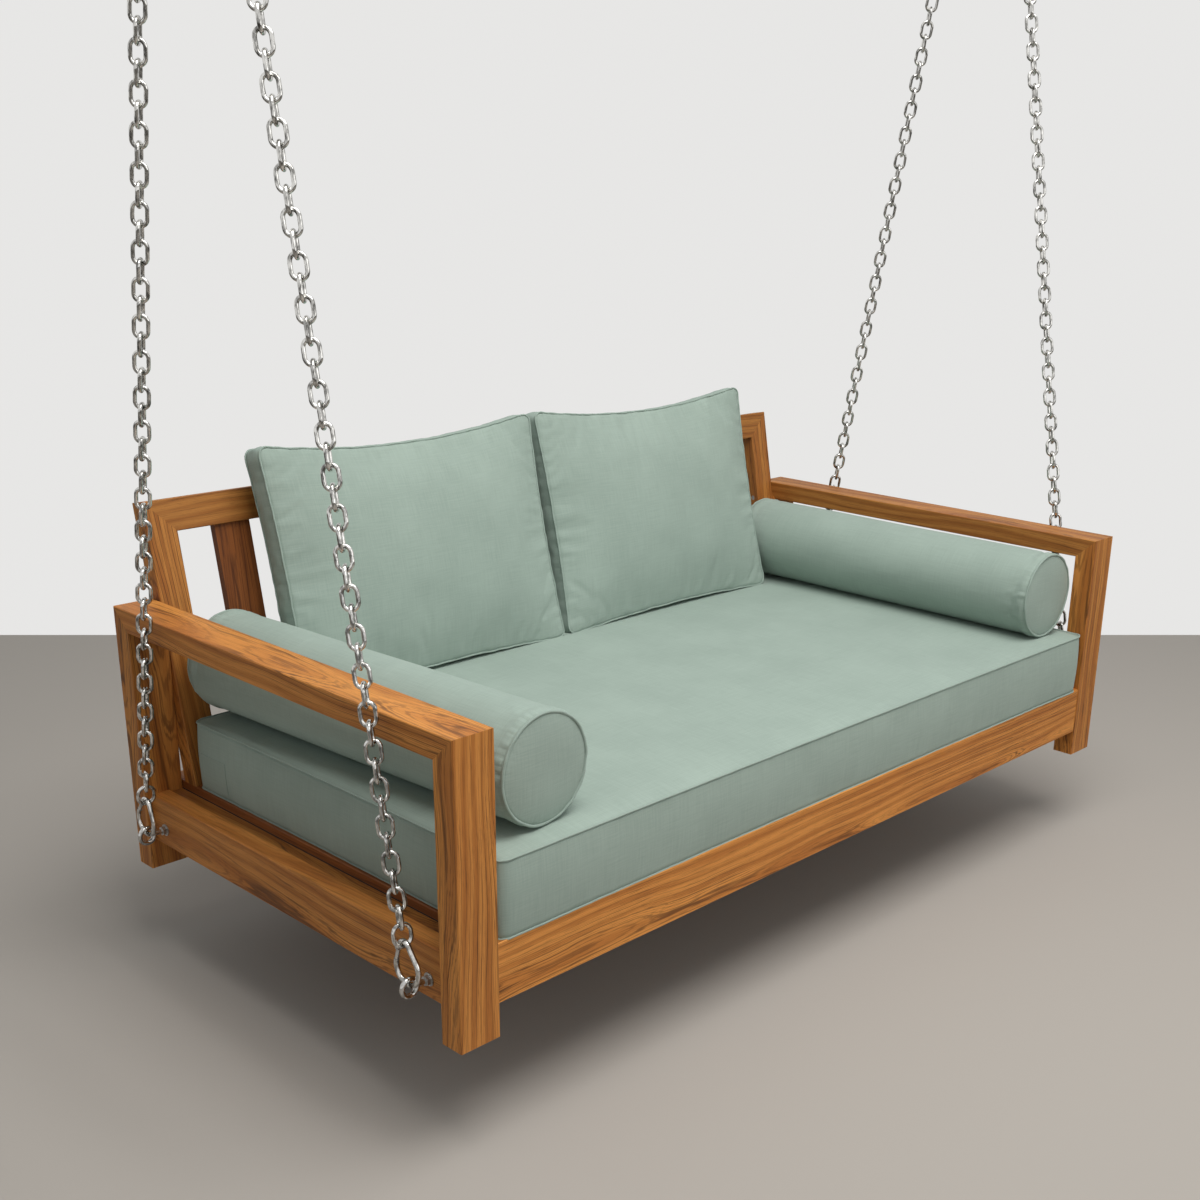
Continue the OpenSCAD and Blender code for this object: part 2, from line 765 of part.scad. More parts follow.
// A boxed cushion lying flat: crowned faces above and below a side band, sides drawn in between
// corners. The crown is [above, below], the draw [sides, low edge, high edge], and place() moves
// each point to its final spot.
module boxed_cushion(size, crown, draw, cells, place) {
    nx = cells.x;
    ny = cells.y;
    bulge = 3;
    spot = function (u, v, out, z)
        place([
            drawn(u, size.x / 2 + (abs(u) > 0.999 ? out : 0), draw[0], v),
            drawn(v, size.y / 2 + (abs(v) > 0.999 ? out : 0), draw[v < 0 ? 1 : 2], u), z
        ]);
    face = function (i, j, above)
        let(u = spread(i, nx), v = spread(j, ny), rise = swell(u) * swell(v))
        spot(u, v, 0, above ? size.z + crown[0] * rise : -crown[1] * rise);
    edge = rim(nx, ny);
    count = len(edge);
    grid = (nx + 1) * (ny + 1);
    at = function (i, j) i * (ny + 1) + j;
    points = concat(
        [for (i = [0:nx], j = [0:ny]) face(i, j, true)],
        [for (i = [0:nx], j = [0:ny]) face(i, j, false)],
        [for (cell = edge) spot(spread(cell.x, nx), spread(cell.y, ny), bulge, size.z / 2)]
    );
    top = [for (i = [0:nx - 1], j = [0:ny - 1])
        each [[at(i, j), at(i, j + 1), at(i + 1, j + 1)], [at(i, j), at(i + 1, j + 1), at(i + 1, j)]]];
    bottom = [for (t = top) [t[2] + grid, t[1] + grid, t[0] + grid]];
    sides = [for (k = [0:count - 1])
        let(
            a = at(edge[k].x, edge[k].y),
            b = at(edge[(k + 1) % count].x, edge[(k + 1) % count].y),
            c = 2 * grid + k,
            d = 2 * grid + (k + 1) % count
        )
        each [[a, b, c], [b, d, c], [c, d, a + grid], [d, b + grid, a + grid]]];
    polyhedron(points, concat(top, bottom, sides));
}

module mattress() {
    color("cadetblue") hung() translate([0, mattress_middle_y, mattress_low])
        boxed_cushion([2 * mattress_half, mattress_depth, mattress_thickness],
            [mattress_crown, 0], [mattress_draw, mattress_draw, mattress_draw], [20, 12],
            function (p) p);
}

// A back cushion's points, stood up on its front foot, pressed flat by the mattress and the back
function leaned(p) =
    let(
        up = p.y + cushion_height / 2,
        back = cushion_band - p.z,
        y = up * sin(cushion_lean) + back * cos(cushion_lean),
        z = max(0, up * cos(cushion_lean) - back * sin(cushion_lean))
    )
    [p.x, min(y, cushion_wall_y + z * tan(back_lean)), z];

module back_cushion(left) {
    color("cadetblue") hung()
        translate([(left ? -1 : 1) * cushion_x, cushion_foot_y, cushion_low])
            boxed_cushion([cushion_width, cushion_height, cushion_band],
                [cushion_crown, cushion_back_crown], [cushion_draw, cushion_arch, cushion_dip],
                [16, 14], function (p) leaned(p));
}

module bolster(left) {
    steps = 6;
    turn = left ? bolster_turn : 0;
    rise = function (share) bolster_dome * (1 - share * share);
    color("cadetblue") hung() mirror([left ? 1 : 0, 0, 0])
        translate([bolster_x - bolster_radius, bolster_rear_y, bolster_z(turn)]) rotate([0, 0, -turn])
            translate([bolster_radius, -bolster_length, 0]) rotate([-90, 0, 0])
                rotate_extrude() polygon(concat(
                    [for (k = [0:steps]) [bolster_radius * k / steps, bolster_dome - rise(k / steps)]],
                    [for (k = [steps:-1:0])
                        [bolster_radius * k / steps, bolster_length - bolster_dome + rise(k / steps)]]
                ));
}

// ---- What each node holds ----

ceiling_plate(true, true);  // ceiling_plate_front_left
ceiling_plate(false, true);  // ceiling_plate_front_right
ceiling_plate(true, false);  // ceiling_plate_rear_left
ceiling_plate(false, false);  // ceiling_plate_rear_right
chain(true, true);  // chain_front_left
chain(false, true);  // chain_front_right
chain(true, false);  // chain_rear_left
chain(false, false);  // chain_rear_right
snap_hook(true, true);  // snap_hook_front_left
snap_hook(false, true);  // snap_hook_front_right
snap_hook(true, false);  // snap_hook_rear_left
snap_hook(false, false);  // snap_hook_rear_right
hook_gate(true, true);  // hook_gate_front_left
hook_gate(false, true);  // hook_gate_front_right
hook_gate(true, false);  // hook_gate_rear_left
hook_gate(false, false);  // hook_gate_rear_right
eye_bolts();
eye_bolt_washers();
eye_bolt_nuts();
post(true, true);  // front_post_left
post(false, true);  // front_post_right
rear_post(true);  // rear_post_left
rear_post(false);  // rear_post_right
arm_rail(true);  // arm_rail_left
arm_rail(false);  // arm_rail_right
arm_dowels();
side_rail(true);  // side_rail_left
side_rail(false);  // side_rail_right
rail_across(true);  // front_rail
rail_across(false);  // rear_rail
ledger(true);  // front_ledger
ledger(false);  // rear_ledger
side_ledge(true);  // side_ledge_left
side_ledge(false);  // side_ledge_right
deck_beam();
deck_slats();
back_top_rail();
back_bottom_rail();
back_stile(true);  // back_stile_left
back_stile(false);  // back_stile_right
back_slats();
back_bolts();
mattress();
back_cushion(true);  // back_cushion_left
back_cushion(false);  // back_cushion_right
bolster(true);  // bolster_left
bolster(false);  // bolster_right
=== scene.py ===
# %% [markdown]
# # A hanging swing bed
# The frame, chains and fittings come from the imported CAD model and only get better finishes.
# The mattress, the two back cushions and the two bolsters are made again here as sewn, piped
# and stuffed fabric, because that softness is what a CAD solid can't show.

import math

import bpy
from mathutils import Matrix, Vector, noise


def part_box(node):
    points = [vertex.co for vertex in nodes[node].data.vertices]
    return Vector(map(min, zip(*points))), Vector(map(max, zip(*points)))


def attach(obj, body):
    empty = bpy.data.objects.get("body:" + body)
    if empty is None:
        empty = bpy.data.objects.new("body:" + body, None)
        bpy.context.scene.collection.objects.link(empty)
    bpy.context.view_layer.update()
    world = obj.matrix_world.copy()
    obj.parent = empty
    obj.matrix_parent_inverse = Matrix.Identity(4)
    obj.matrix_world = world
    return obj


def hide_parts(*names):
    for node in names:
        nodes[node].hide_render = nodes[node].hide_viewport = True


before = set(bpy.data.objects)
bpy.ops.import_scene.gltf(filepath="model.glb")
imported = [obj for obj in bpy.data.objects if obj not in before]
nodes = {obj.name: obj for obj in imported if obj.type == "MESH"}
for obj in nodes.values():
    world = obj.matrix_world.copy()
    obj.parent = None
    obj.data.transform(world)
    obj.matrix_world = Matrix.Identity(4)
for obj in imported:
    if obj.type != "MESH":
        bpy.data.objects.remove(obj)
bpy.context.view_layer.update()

# %% [markdown]
# ## Camera
# The camera was fitted to the photograph's edges: its place, turn and lens are real numbers in the
# part's frame, whose origin is on the ceiling. The photograph is a crop of a wider picture, so its
# centre isn't on the lens's axis, and a small lens shift says so.

# %% Camera
CEILING = 1.97028                       # the ceiling's height above the leg ends, in metres
CAMERA_PLACE, CAMERA_TURN = (-2.4387, -2.2695, 1.3882 - CEILING), (-46.50, 19.93, 0.97)


def turned_frame(azimuth, elevation, roll):
    """The camera's right, up and back directions for a view from that side."""
    az, el, ro = (math.radians(a) for a in (azimuth, elevation, roll))
    back = Vector((math.sin(az) * math.cos(el), -math.cos(az) * math.cos(el), math.sin(el)))
    level = Vector((math.cos(az), math.sin(az), 0))
    upright = back.cross(level)
    right = level * math.cos(ro) + upright * math.sin(ro)
    up = upright * math.cos(ro) - level * math.sin(ro)
    return Matrix((right, up, back)).transposed()


camera_data = bpy.data.cameras.new("camera")
camera_data.sensor_width = 36
camera_data.lens = 45.31
camera_data.shift_x = -0.0425
camera_data.shift_y = 0.1055
camera = bpy.data.objects.new("camera", camera_data)
bpy.context.scene.collection.objects.link(camera)
camera.matrix_world = Matrix.Translation(CAMERA_PLACE) @ turned_frame(*CAMERA_TURN).to_4x4()
bpy.context.scene.camera = camera
print("camera at", tuple(round(c, 3) for c in camera.location))

# %% [markdown]
# ## Helpers for shaders
# A shader is a tree of small nodes. It could be built by setting every socket by hand, but it is
# easier to read when a node with its values is one line, so these helpers make and wire them.

# %% Nodes and their sockets
def node(tree, kind, place=(0, 0), **settings):
    """A new shader node; settings name its properties."""
    made = tree.nodes.new(kind)
    made.location = place
    for key, value in settings.items():
        setattr(made, key, value)
    return made


def plug(tree, value, socket):
    """Links a node's output to a socket, or sets the socket to a plain value."""
    if isinstance(value, bpy.types.NodeSocket):
        tree.links.new(value, socket)
    else:
        socket.default_value = value


def feed(tree, made, **inputs):
    """Sets or links a node's inputs by name, with _ for a space."""
    for key, value in inputs.items():
        plug(tree, value, made.inputs[key.replace("_", " ")])
    return made


def new_group(name, inputs, outputs):
    """An empty shader node group with named sockets: (name, type, default) in, (name, type) out."""
    group = bpy.data.node_groups.new(name, "ShaderNodeTree")
    for label, kind, default in inputs:
        made = group.interface.new_socket(label, in_out="INPUT", socket_type="NodeSocket" + kind)
        if default is not None:
            made.default_value = default
    for label, kind in outputs:
        group.interface.new_socket(label, in_out="OUTPUT", socket_type="NodeSocket" + kind)
    return group, node(group, "NodeGroupInput", (-1400, 0)), node(group, "NodeGroupOutput", (900, 0))


print("node helpers ready")


# %% Sums, mixes and noise
def maths(tree, operation, a, b=0.0, place=(0, 0), kind="ShaderNodeMath"):
    """The result of one operation on two values, each a number or another node's output."""
    made = node(tree, kind, place, operation=operation)
    for socket, value in zip(made.inputs, (a, b)):
        plug(tree, value, socket)
    return made.outputs[0]


def vector_maths(tree, operation, a, b, place=(0, 0)):
    """The same for vectors."""
    return maths(tree, operation, a, b, place, "ShaderNodeVectorMath")


def blended(tree, factor, a, b, place=(0, 0)):
    """A colour mix of a and b. A Mix node's colour sockets are inputs 6 and 7 and output 2."""
    made = node(tree, "ShaderNodeMix", place, data_type="RGBA", blend_type="MIX")
    for index, value in ((0, factor), (6, a), (7, b)):
        plug(tree, value, made.inputs[index])
    return made.outputs[2]


def ramp(tree, factor, low, high, place=(0, 0)):
    """A smooth step of factor from 0 at low to 1 at high."""
    made = node(tree, "ShaderNodeMapRange", place, interpolation_type="SMOOTHSTEP")
    return feed(tree, made, Value=factor, From_Min=low, From_Max=high).outputs[0]


def noisy(tree, vector, scale, detail=2.0, rough=0.5, place=(0, 0)):
    """A cloudy value between 0 and 1."""
    made = node(tree, "ShaderNodeTexNoise", place)
    return feed(tree, made, Vector=vector, Scale=scale, Detail=detail, Roughness=rough).outputs["Fac"]


print("pattern helpers ready")


# %% A new material and its bumps
def new_material(name):
    """A new material, with its node tree and its Principled BSDF."""
    made = bpy.data.materials.new(name)
    made.use_nodes = True
    return made, made.node_tree, made.node_tree.nodes["Principled BSDF"]


def bumped(tree, shader, height, strength, distance):
    """Feeds a height through a Bump node into the shader's normal."""
    bump = node(tree, "ShaderNodeBump", (-200, -300))
    feed(tree, bump, Strength=strength, Distance=distance, Height=height)
    tree.links.new(bump.outputs[0], shader.inputs["Normal"])


print("material helpers ready")

# %% [markdown]
# ## Helpers for selecting
# An operator works on all that is selected, and the CAD nodes arrive selected. So everything is
# deselected before a piece is added, and a finished piece is picked alone before it is changed.

# %% Selecting
def deselect():
    """Leaves edit mode and selects nothing."""
    if bpy.context.mode != "OBJECT":
        bpy.ops.object.mode_set(mode="OBJECT")
    bpy.ops.object.select_all(action="DESELECT")


def only(piece):
    """Makes one piece the selected and active one."""
    deselect()
    piece.select_set(True)
    bpy.context.view_layer.objects.active = piece


deselect()
print("nodes still selected:", len(bpy.context.selected_objects))

# %% [markdown]
# ## Oiled teak
# The frame is orange-brown hardwood. A plank is cut from a trunk, so its faces show the trunk's
# rings: close straight lines near the edges and long arches, called cathedrals, near the middle.
# The pattern is therefore made in three dimensions, as rings about an axis a little outside each
# plank, bent by noise. Soft bands, thin dark lines, fibres and short pores are laid over each other.
# The group wants coordinates that start at the plank's middle, with X along the plank, and a seed
# that puts the trunk's axis somewhere else for each plank.

# %% Wood grain group: where the trunk's axis lies
grain, g_in, g_out = new_group(
    "Wood grain",
    [("Vector", "Vector", None), ("Seed", "Float", 0.0), ("Light", "Color", (0.660, 0.270, 0.058, 1)),
     ("Middle", "Color", (0.425, 0.143, 0.025, 1)), ("Dark", "Color", (0.065, 0.021, 0.005, 1))],
    [("Color", "Color"), ("Roughness", "Float"), ("Height", "Float")])
seed_a = maths(grain, "SINE", maths(grain, "MULTIPLY", g_in.outputs["Seed"], 1.7), 0, (-1300, -250))
seed_b = maths(grain, "SINE", maths(grain, "MULTIPLY", g_in.outputs["Seed"], 2.9), 0, (-1300, -400))
heart = node(grain, "ShaderNodeCombineXYZ", (-1150, -250))
grain.links.new(maths(grain, "MULTIPLY", seed_b, 1.5), heart.inputs["X"])
grain.links.new(maths(grain, "MULTIPLY", seed_a, 0.045), heart.inputs["Y"])
grain.links.new(maths(grain, "ADD", maths(grain, "MULTIPLY", seed_b, 0.02), 0.055), heart.inputs["Z"])
here = vector_maths(grain, "ADD", g_in.outputs["Vector"], heart.outputs[0], (-1000, 0))
apart = node(grain, "ShaderNodeCombineXYZ", (-1150, -550))
grain.links.new(maths(grain, "MULTIPLY", g_in.outputs["Seed"], 3.71), apart.inputs["X"])
own = vector_maths(grain, "ADD", here, apart.outputs[0], (-1000, -500))
stretched = vector_maths(grain, "MULTIPLY", own, (0.30, 1.0, 1.0), (-850, -250))
warp = node(grain, "ShaderNodeTexNoise", (-700, -250))
feed(grain, warp, Vector=stretched, Scale=3.2, Detail=2.5, Roughness=0.5)
pull = vector_maths(grain, "MULTIPLY", vector_maths(grain, "SUBTRACT", warp.outputs["Color"], (0.5, 0.5, 0.5),
                                                    (-550, -250)), (0.0, 0.11, 0.11), (-400, -250))
flat = vector_maths(grain, "MULTIPLY", here, (0.035, 1.0, 1.0), (-550, 50))
wavy = vector_maths(grain, "ADD", flat, pull, (-250, 0))
print("wood grain is bent by noise")

# %% [markdown]
# ## Rings, fibres and pores
# One wave texture gives broad soft bands, a closer one the dark lines, and a very close one the
# hairlines between them. Each is cut to its peaks by a ramp, so the lines stay thin. Noise that is
# stretched along the plank gives the fibres, and shorter flecks of it the pores.

# %% Wood grain group: rings, fibres and pores
def growth_rings(spacing_scale, distortion, place):
    """Rings about the trunk's axis; a greater scale sets them closer."""
    made = node(grain, "ShaderNodeTexWave", place, wave_type="RINGS", rings_direction="X", wave_profile="SIN")
    feed(grain, made, Vector=wavy, Scale=spacing_scale, Distortion=distortion, Detail=3.0, Detail_Scale=2.0,
         Detail_Roughness=0.6)
    return made.outputs["Fac"]


bands = growth_rings(15.0, 2.8, (-100, 350))
lines = ramp(grain, growth_rings(38.0, 3.8, (-100, 150)), 0.88, 1.0, (50, 150))
hairlines = ramp(grain, growth_rings(125.0, 3.8, (-100, 550)), 0.70, 1.0, (50, 550))
strength = ramp(grain, noisy(grain, stretched, 9.0, 2.0, 0.5, (-100, -50)), 0.38, 0.60, (50, -50))


def along_grain(stretch, scale, detail, rough, down):
    """Noise whose blots are drawn out along the plank: a small first stretch makes them long."""
    long_space = vector_maths(grain, "MULTIPLY", own, stretch, (-500, down))
    return noisy(grain, long_space, scale, detail, rough, (-300, down))


tone = along_grain((0.7, 14.0, 14.0), 1.8, 3.0, 0.6, -500)
fibre = along_grain((7.0, 380.0, 380.0), 1.0, 4.0, 0.7, -650)
pore = ramp(grain, along_grain((30.0, 1100.0, 1100.0), 1.0, 1.0, 0.5, -800), 0.62, 0.72, (-100, -800))
print("wood grain has rings, fibres and pores")

# %% [markdown]
# ## The wood's colour and gloss
# The light and middle tones are mixed first, and the dark tone is laid over them line by line, as
# oil darkens the dense parts of real teak. Fibres also scatter light, so they drive the roughness,
# and pores and lines lie a little deeper, so they drive the height.

# %% Wood grain group: colour, roughness and height
def faded(value, share, base=0.0):
    """share of a value, on top of a base."""
    part = maths(grain, "MULTIPLY", value, share)
    return maths(grain, "ADD", part, base) if base else part


mixing = maths(grain, "ADD", faded(bands, 0.30), faded(tone, 0.72), (100, 350))
body = blended(grain, ramp(grain, mixing, 0.28, 0.80, (200, 350)), g_in.outputs["Light"],
               g_in.outputs["Middle"], (300, 100))
vein = maths(grain, "MAXIMUM", maths(grain, "MULTIPLY", lines, faded(strength, 0.60, 0.14), (300, 300)),
             maths(grain, "MULTIPLY", hairlines, faded(strength, 0.32, 0.16), (300, 500)), (350, 400))
layers = ((vein, 450), (faded(ramp(grain, fibre, 0.48, 0.80, (50, -550)), 0.50), 600), (faded(pore, 0.38), 750))
finished = body
for mask, across_page in layers:
    finished = blended(grain, mask, finished, g_in.outputs["Dark"], (across_page, 0))
grain.links.new(finished, g_out.inputs["Color"])
grain.links.new(faded(fibre, 0.25, 0.42), g_out.inputs["Roughness"])
depth = maths(grain, "SUBTRACT", faded(fibre, 0.5), faded(pore, 0.6))
grain.links.new(maths(grain, "SUBTRACT", depth, faded(vein, 0.3)), g_out.inputs["Height"])
print("wood grain group:", len(grain.nodes), "nodes")

# %% [markdown]
# ## One material for each board
# Boards that meet at a joint come from other planks, so each gets its own seed, its own tone and a
# pattern that starts at its own middle and runs along it. A board's tone is partly its plank's own
# colour and partly painted light and shade: it darkens boards that get less light, such as the side
# ledges under the mattress and the right arm, and brightens the front rail. The slats of a row share
# one CAD node, so there the place across the row is counted in slats, and the count changes the seed.

# %% Coordinates that start at a board's middle
QUARTER, LEAN_BACK = math.radians(90), math.radians(10.6)
TURNS = {"x": [(0, 0, 0)], "y": [(0, 0, -QUARTER)], "z": [(0, QUARTER, 0)],
         "back": [(LEAN_BACK, 0, 0), (0, QUARTER, 0)]}


def centred(tree, middle, boards):
    """Object coordinates from a board's middle; boards = (first, pitch) splits a row of boards along X."""
    place = node(tree, "ShaderNodeTexCoord", (-1500, 0)).outputs["Object"]
    if not boards:
        return vector_maths(tree, "SUBTRACT", place, middle, (-1300, 0)), None
    first, pitch = boards
    split = node(tree, "ShaderNodeSeparateXYZ", (-1350, -200))
    tree.links.new(place, split.inputs[0])
    from_first = maths(tree, "SUBTRACT", split.outputs[0], first, (-1200, -200))
    count = maths(tree, "DIVIDE", from_first, pitch, (-1100, -200))
    index = maths(tree, "FLOOR", count, 0, (-1000, -300))
    share = maths(tree, "SUBTRACT", maths(tree, "SUBTRACT", count, index), 0.5)
    across = maths(tree, "MULTIPLY", share, pitch, (-900, -200))
    joined = node(tree, "ShaderNodeCombineXYZ", (-800, -100))
    tree.links.new(across, joined.inputs["X"])
    for axis, label in ((1, "Y"), (2, "Z")):
        tree.links.new(maths(tree, "SUBTRACT", split.outputs[axis], middle[axis], (-950, -100 * axis)),
                       joined.inputs[label])
    return joined.outputs[0], index


print("grain can run along", ", ".join(TURNS))


# %% Wood materials
def wood(name, along, seed, middle, tones, boards=None):
    """Teak whose grain runs along an axis; tones = (light, middle, dark)."""
    made, tree, shader = new_material(name)
    vector, index = centred(tree, middle, boards)
    for turn in TURNS[along]:
        mapping = node(tree, "ShaderNodeMapping", (-600, 0), vector_type="POINT")
        tree.links.new(vector, mapping.inputs["Vector"])
        mapping.inputs["Rotation"].default_value = turn
        vector = mapping.outputs[0]
    group = node(tree, "ShaderNodeGroup", (-350, 0), node_tree=grain)
    if index:
        seed = maths(tree, "ADD", maths(tree, "MULTIPLY", index, 1.37), seed, (-450, -300))
    feed(tree, group, Vector=vector, Seed=seed)
    for label, colour in zip(("Light", "Middle", "Dark"), tones):
        group.inputs[label].default_value = (*colour, 1)
    bumped(tree, shader, group.outputs["Height"], 0.3, 0.0005)
    tree.links.new(group.outputs["Color"], shader.inputs["Base Color"])
    tree.links.new(group.outputs["Roughness"], shader.inputs["Roughness"])
    shader.inputs["Specular IOR Level"].default_value = 0.3
    return made


def dress(names, material):
    """Gives CAD nodes a material, and leaves their meshes alone."""
    for name in names:
        mesh = nodes[name].data
        mesh.materials.clear()
        mesh.materials.append(material)


def middle_of(name):
    low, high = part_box(name)
    return tuple((a + b) / 2 for a, b in zip(low, high))


print("front rail's middle", [round(c, 3) for c in middle_of("front_rail")])

# %% The boards and their tones
BOARDS = {
    "x": ["front_rail", "rear_rail", "back_top_rail", "back_bottom_rail", "front_ledger", "rear_ledger",
          "deck_beam"],
    "y": ["arm_rail_left", "arm_rail_right", "side_rail_left", "side_rail_right", "side_ledge_left",
          "side_ledge_right"],
    "z": ["front_post_left", "front_post_right", "rear_post_left", "rear_post_right"],
    "back": ["back_stile_left", "back_stile_right"],
}
TEAK = ((0.660, 0.270, 0.058), (0.425, 0.143, 0.025), (0.065, 0.021, 0.005))
# Brightness factors per board over each plank's own tone: below 1 is painted shade (the side ledges under the
# mattress most), above 1 is painted light.
TONE_AND_PAINTED_LIGHT = {"front_rail": 1.15, "back_top_rail": 0.66, "back_stile_left": 0.82, "back_stile_right": 0.82,
        "arm_rail_right": 0.76, "side_rail_left": 0.92, "side_rail_right": 0.92, "rear_post_left": 0.85,
        "side_ledge_left": 0.6, "side_ledge_right": 0.6}
seed = 1.0
for along, names in BOARDS.items():
    for name in names:
        seed += 2.63
        tones = [[value * TONE_AND_PAINTED_LIGHT.get(name, 1.0) for value in colour] for colour in TEAK]
        dress([name], wood(name + " teak", along, seed, middle_of(name), tones))
RUSSET = ((0.30, 0.096, 0.022), (0.19, 0.056, 0.012), (0.05, 0.013, 0.004))
DOWEL = ((0.56, 0.36, 0.17), (0.46, 0.28, 0.12), (0.22, 0.11, 0.04))
BACK_SLATS = (-0.9525, 0.17258)         # where the first slat's share starts in X, and their pitch
DECK_SLATS = (-1.0137, 0.15595)
dress(["back_slats"], wood("back slat teak", "back", 40.0, middle_of("back_slats"), RUSSET, BACK_SLATS))
dress(["deck_slats"], wood("deck slat teak", "y", 60.0, middle_of("deck_slats"), RUSSET, DECK_SLATS))
dress(["arm_dowels"], wood("dowel wood", "z", 80.0, middle_of("arm_dowels"), DOWEL))
print("wood materials:", len([m for m in bpy.data.materials if "teak" in m.name]))

# %% [markdown]
# ## Bright steel
# The chain, hooks and eyes are polished stainless steel. It mirrors the pale room, so the metal is
# nearly white with a soft gloss. Cloudy marks break the mirror up as wear does; on the chain they swing
# from near white to near black, which is painted reflection and highlight laid over the wear.

# %% Steel group and materials
scuffs_and_reflection, w_in, w_out = new_group(
    "Metal scuffs and painted reflection", [("Vector", "Vector", None), ("Scale", "Float", 90.0)],
    [("Mask", "Float"), ("Height", "Float")])
scratch_space = vector_maths(scuffs_and_reflection, "MULTIPLY", w_in.outputs["Vector"], (1.0, 1.0, 0.35), (-900, 0))
scaled = vector_maths(scuffs_and_reflection, "SCALE", scratch_space, (0, 0, 0), (-700, 0))
scuffs_and_reflection.links.new(w_in.outputs["Scale"], scaled.node.inputs["Scale"])
clouds = noisy(scuffs_and_reflection, scaled, 1.0, 4.0, 0.6, (-500, 0))
speck = noisy(scuffs_and_reflection, scaled, 6.0, 2.0, 0.5, (-500, -200))
scuffs_and_reflection.links.new(ramp(scuffs_and_reflection, clouds, 0.35, 0.7, (-250, 0)), w_out.inputs["Mask"])
scuffs_and_reflection.links.new(maths(scuffs_and_reflection, "MULTIPLY", speck, 0.5, (-250, -200)), w_out.inputs["Height"])


def steel(name, bright, dull, smooth, rough, scale=90.0):
    """Steel whose colour and gloss drift between two values."""
    made, tree, shader = new_material(name)
    place = node(tree, "ShaderNodeTexCoord", (-800, 0)).outputs["Object"]
    group = node(tree, "ShaderNodeGroup", (-600, 0), node_tree=scuffs_and_reflection)
    feed(tree, group, Vector=place, Scale=scale)
    tree.links.new(blended(tree, group.outputs["Mask"], (*bright, 1), (*dull, 1), (-300, 100)),
                   shader.inputs["Base Color"])
    span = maths(tree, "MULTIPLY", group.outputs["Mask"], rough - smooth, (-300, -100))
    tree.links.new(maths(tree, "ADD", span, smooth, (-150, -100)), shader.inputs["Roughness"])
    bumped(tree, shader, group.outputs["Height"], 0.05, 0.0002)
    shader.inputs["Metallic"].default_value = 1.0
    return made


CORNERS = ("front_left", "front_right", "rear_left", "rear_right")
# The chain's near-black dull tone against its near-white bright one is painted reflection contrast.
dress(["chain_" + corner for corner in CORNERS],
      steel("chain steel", (0.78, 0.77, 0.74), (0.12, 0.117, 0.11), 0.08, 0.22, 170.0))
dress(["snap_hook_" + corner for corner in CORNERS],
      steel("hook steel", (0.70, 0.69, 0.66), (0.26, 0.253, 0.24), 0.08, 0.20, 120.0))
dress(["hook_gate_" + corner for corner in CORNERS],
      steel("gate steel", (0.64, 0.63, 0.61), (0.38, 0.372, 0.36), 0.12, 0.22))
dress(["eye_bolts"], steel("eye steel", (0.62, 0.61, 0.59), (0.26, 0.253, 0.24), 0.12, 0.24, 120.0))
dress(["eye_bolt_nuts", "eye_bolt_washers", "back_bolts"],
      steel("nut steel", (0.48, 0.472, 0.455), (0.28, 0.273, 0.262), 0.26, 0.40))
dress(["ceiling_plate_" + corner for corner in CORNERS],
      steel("plate steel", (0.50, 0.492, 0.478), (0.34, 0.333, 0.320), 0.28, 0.40, 60.0))
print("steel materials:", len([m for m in bpy.data.materials if "steel" in m.name]))

# %% [markdown]
# ## Sage canvas
# The covers are a tight plain weave in sage green. Threads run both ways, so the weave is two fine
# waves that take turns being on top, laid out on the cloth's own UV map in metres. Thicker threads,
# called slubs, give faint streaks each way, and a slow change of tone keeps large faces alive.

# %% Canvas group
canvas, c_in, c_out = new_group(
    "Canvas weave", [("Vector", "Vector", None), ("Threads", "Float", 1150.0)],
    [("Tone", "Float"), ("Height", "Float")])
parts = node(canvas, "ShaderNodeSeparateXYZ", (-1200, 0))
canvas.links.new(c_in.outputs["Vector"], parts.inputs[0])


def thread_wave(run, up):
    """A wave that rises over one thread and sinks under the next."""
    threads = maths(canvas, "MULTIPLY", run, c_in.outputs["Threads"], (-1000, up))
    return maths(canvas, "SINE", maths(canvas, "MULTIPLY", threads, math.pi, (-850, up)), 0, (-700, up))


def slub(stretch, down):
    """Streaks of thicker thread along one direction."""
    drawn = vector_maths(canvas, "MULTIPLY", c_in.outputs["Vector"], stretch, (-1000, down))
    return noisy(canvas, drawn, 1.0, 3.0, 0.6, (-800, down))


over_under = maths(canvas, "MULTIPLY", thread_wave(parts.outputs[0], 150), thread_wave(parts.outputs[1], -150),
                   (-500, 0))
slub_a, slub_b = slub((14.0, 420.0, 14.0), -350), slub((420.0, 14.0, 14.0), -500)
slow = noisy(canvas, c_in.outputs["Vector"], 5.0, 3.0, 0.55, (-800, -650))
slubs = maths(canvas, "MULTIPLY", maths(canvas, "ADD", slub_a, slub_b, (-600, -400)), 0.5, (-450, -400))
tone_mix = maths(canvas, "ADD", maths(canvas, "MULTIPLY", slubs, 0.65, (-250, -400)),
                 maths(canvas, "MULTIPLY", slow, 0.35, (-250, -600)), (-100, -450))
canvas.links.new(tone_mix, c_out.inputs["Tone"])
canvas.links.new(maths(canvas, "ADD", maths(canvas, "MULTIPLY", over_under, 0.5, (-300, 0)),
                       maths(canvas, "MULTIPLY", slubs, 0.7, (-300, -150)), (-100, 0)), c_out.inputs["Height"])
print("canvas group:", len(canvas.nodes), "nodes")


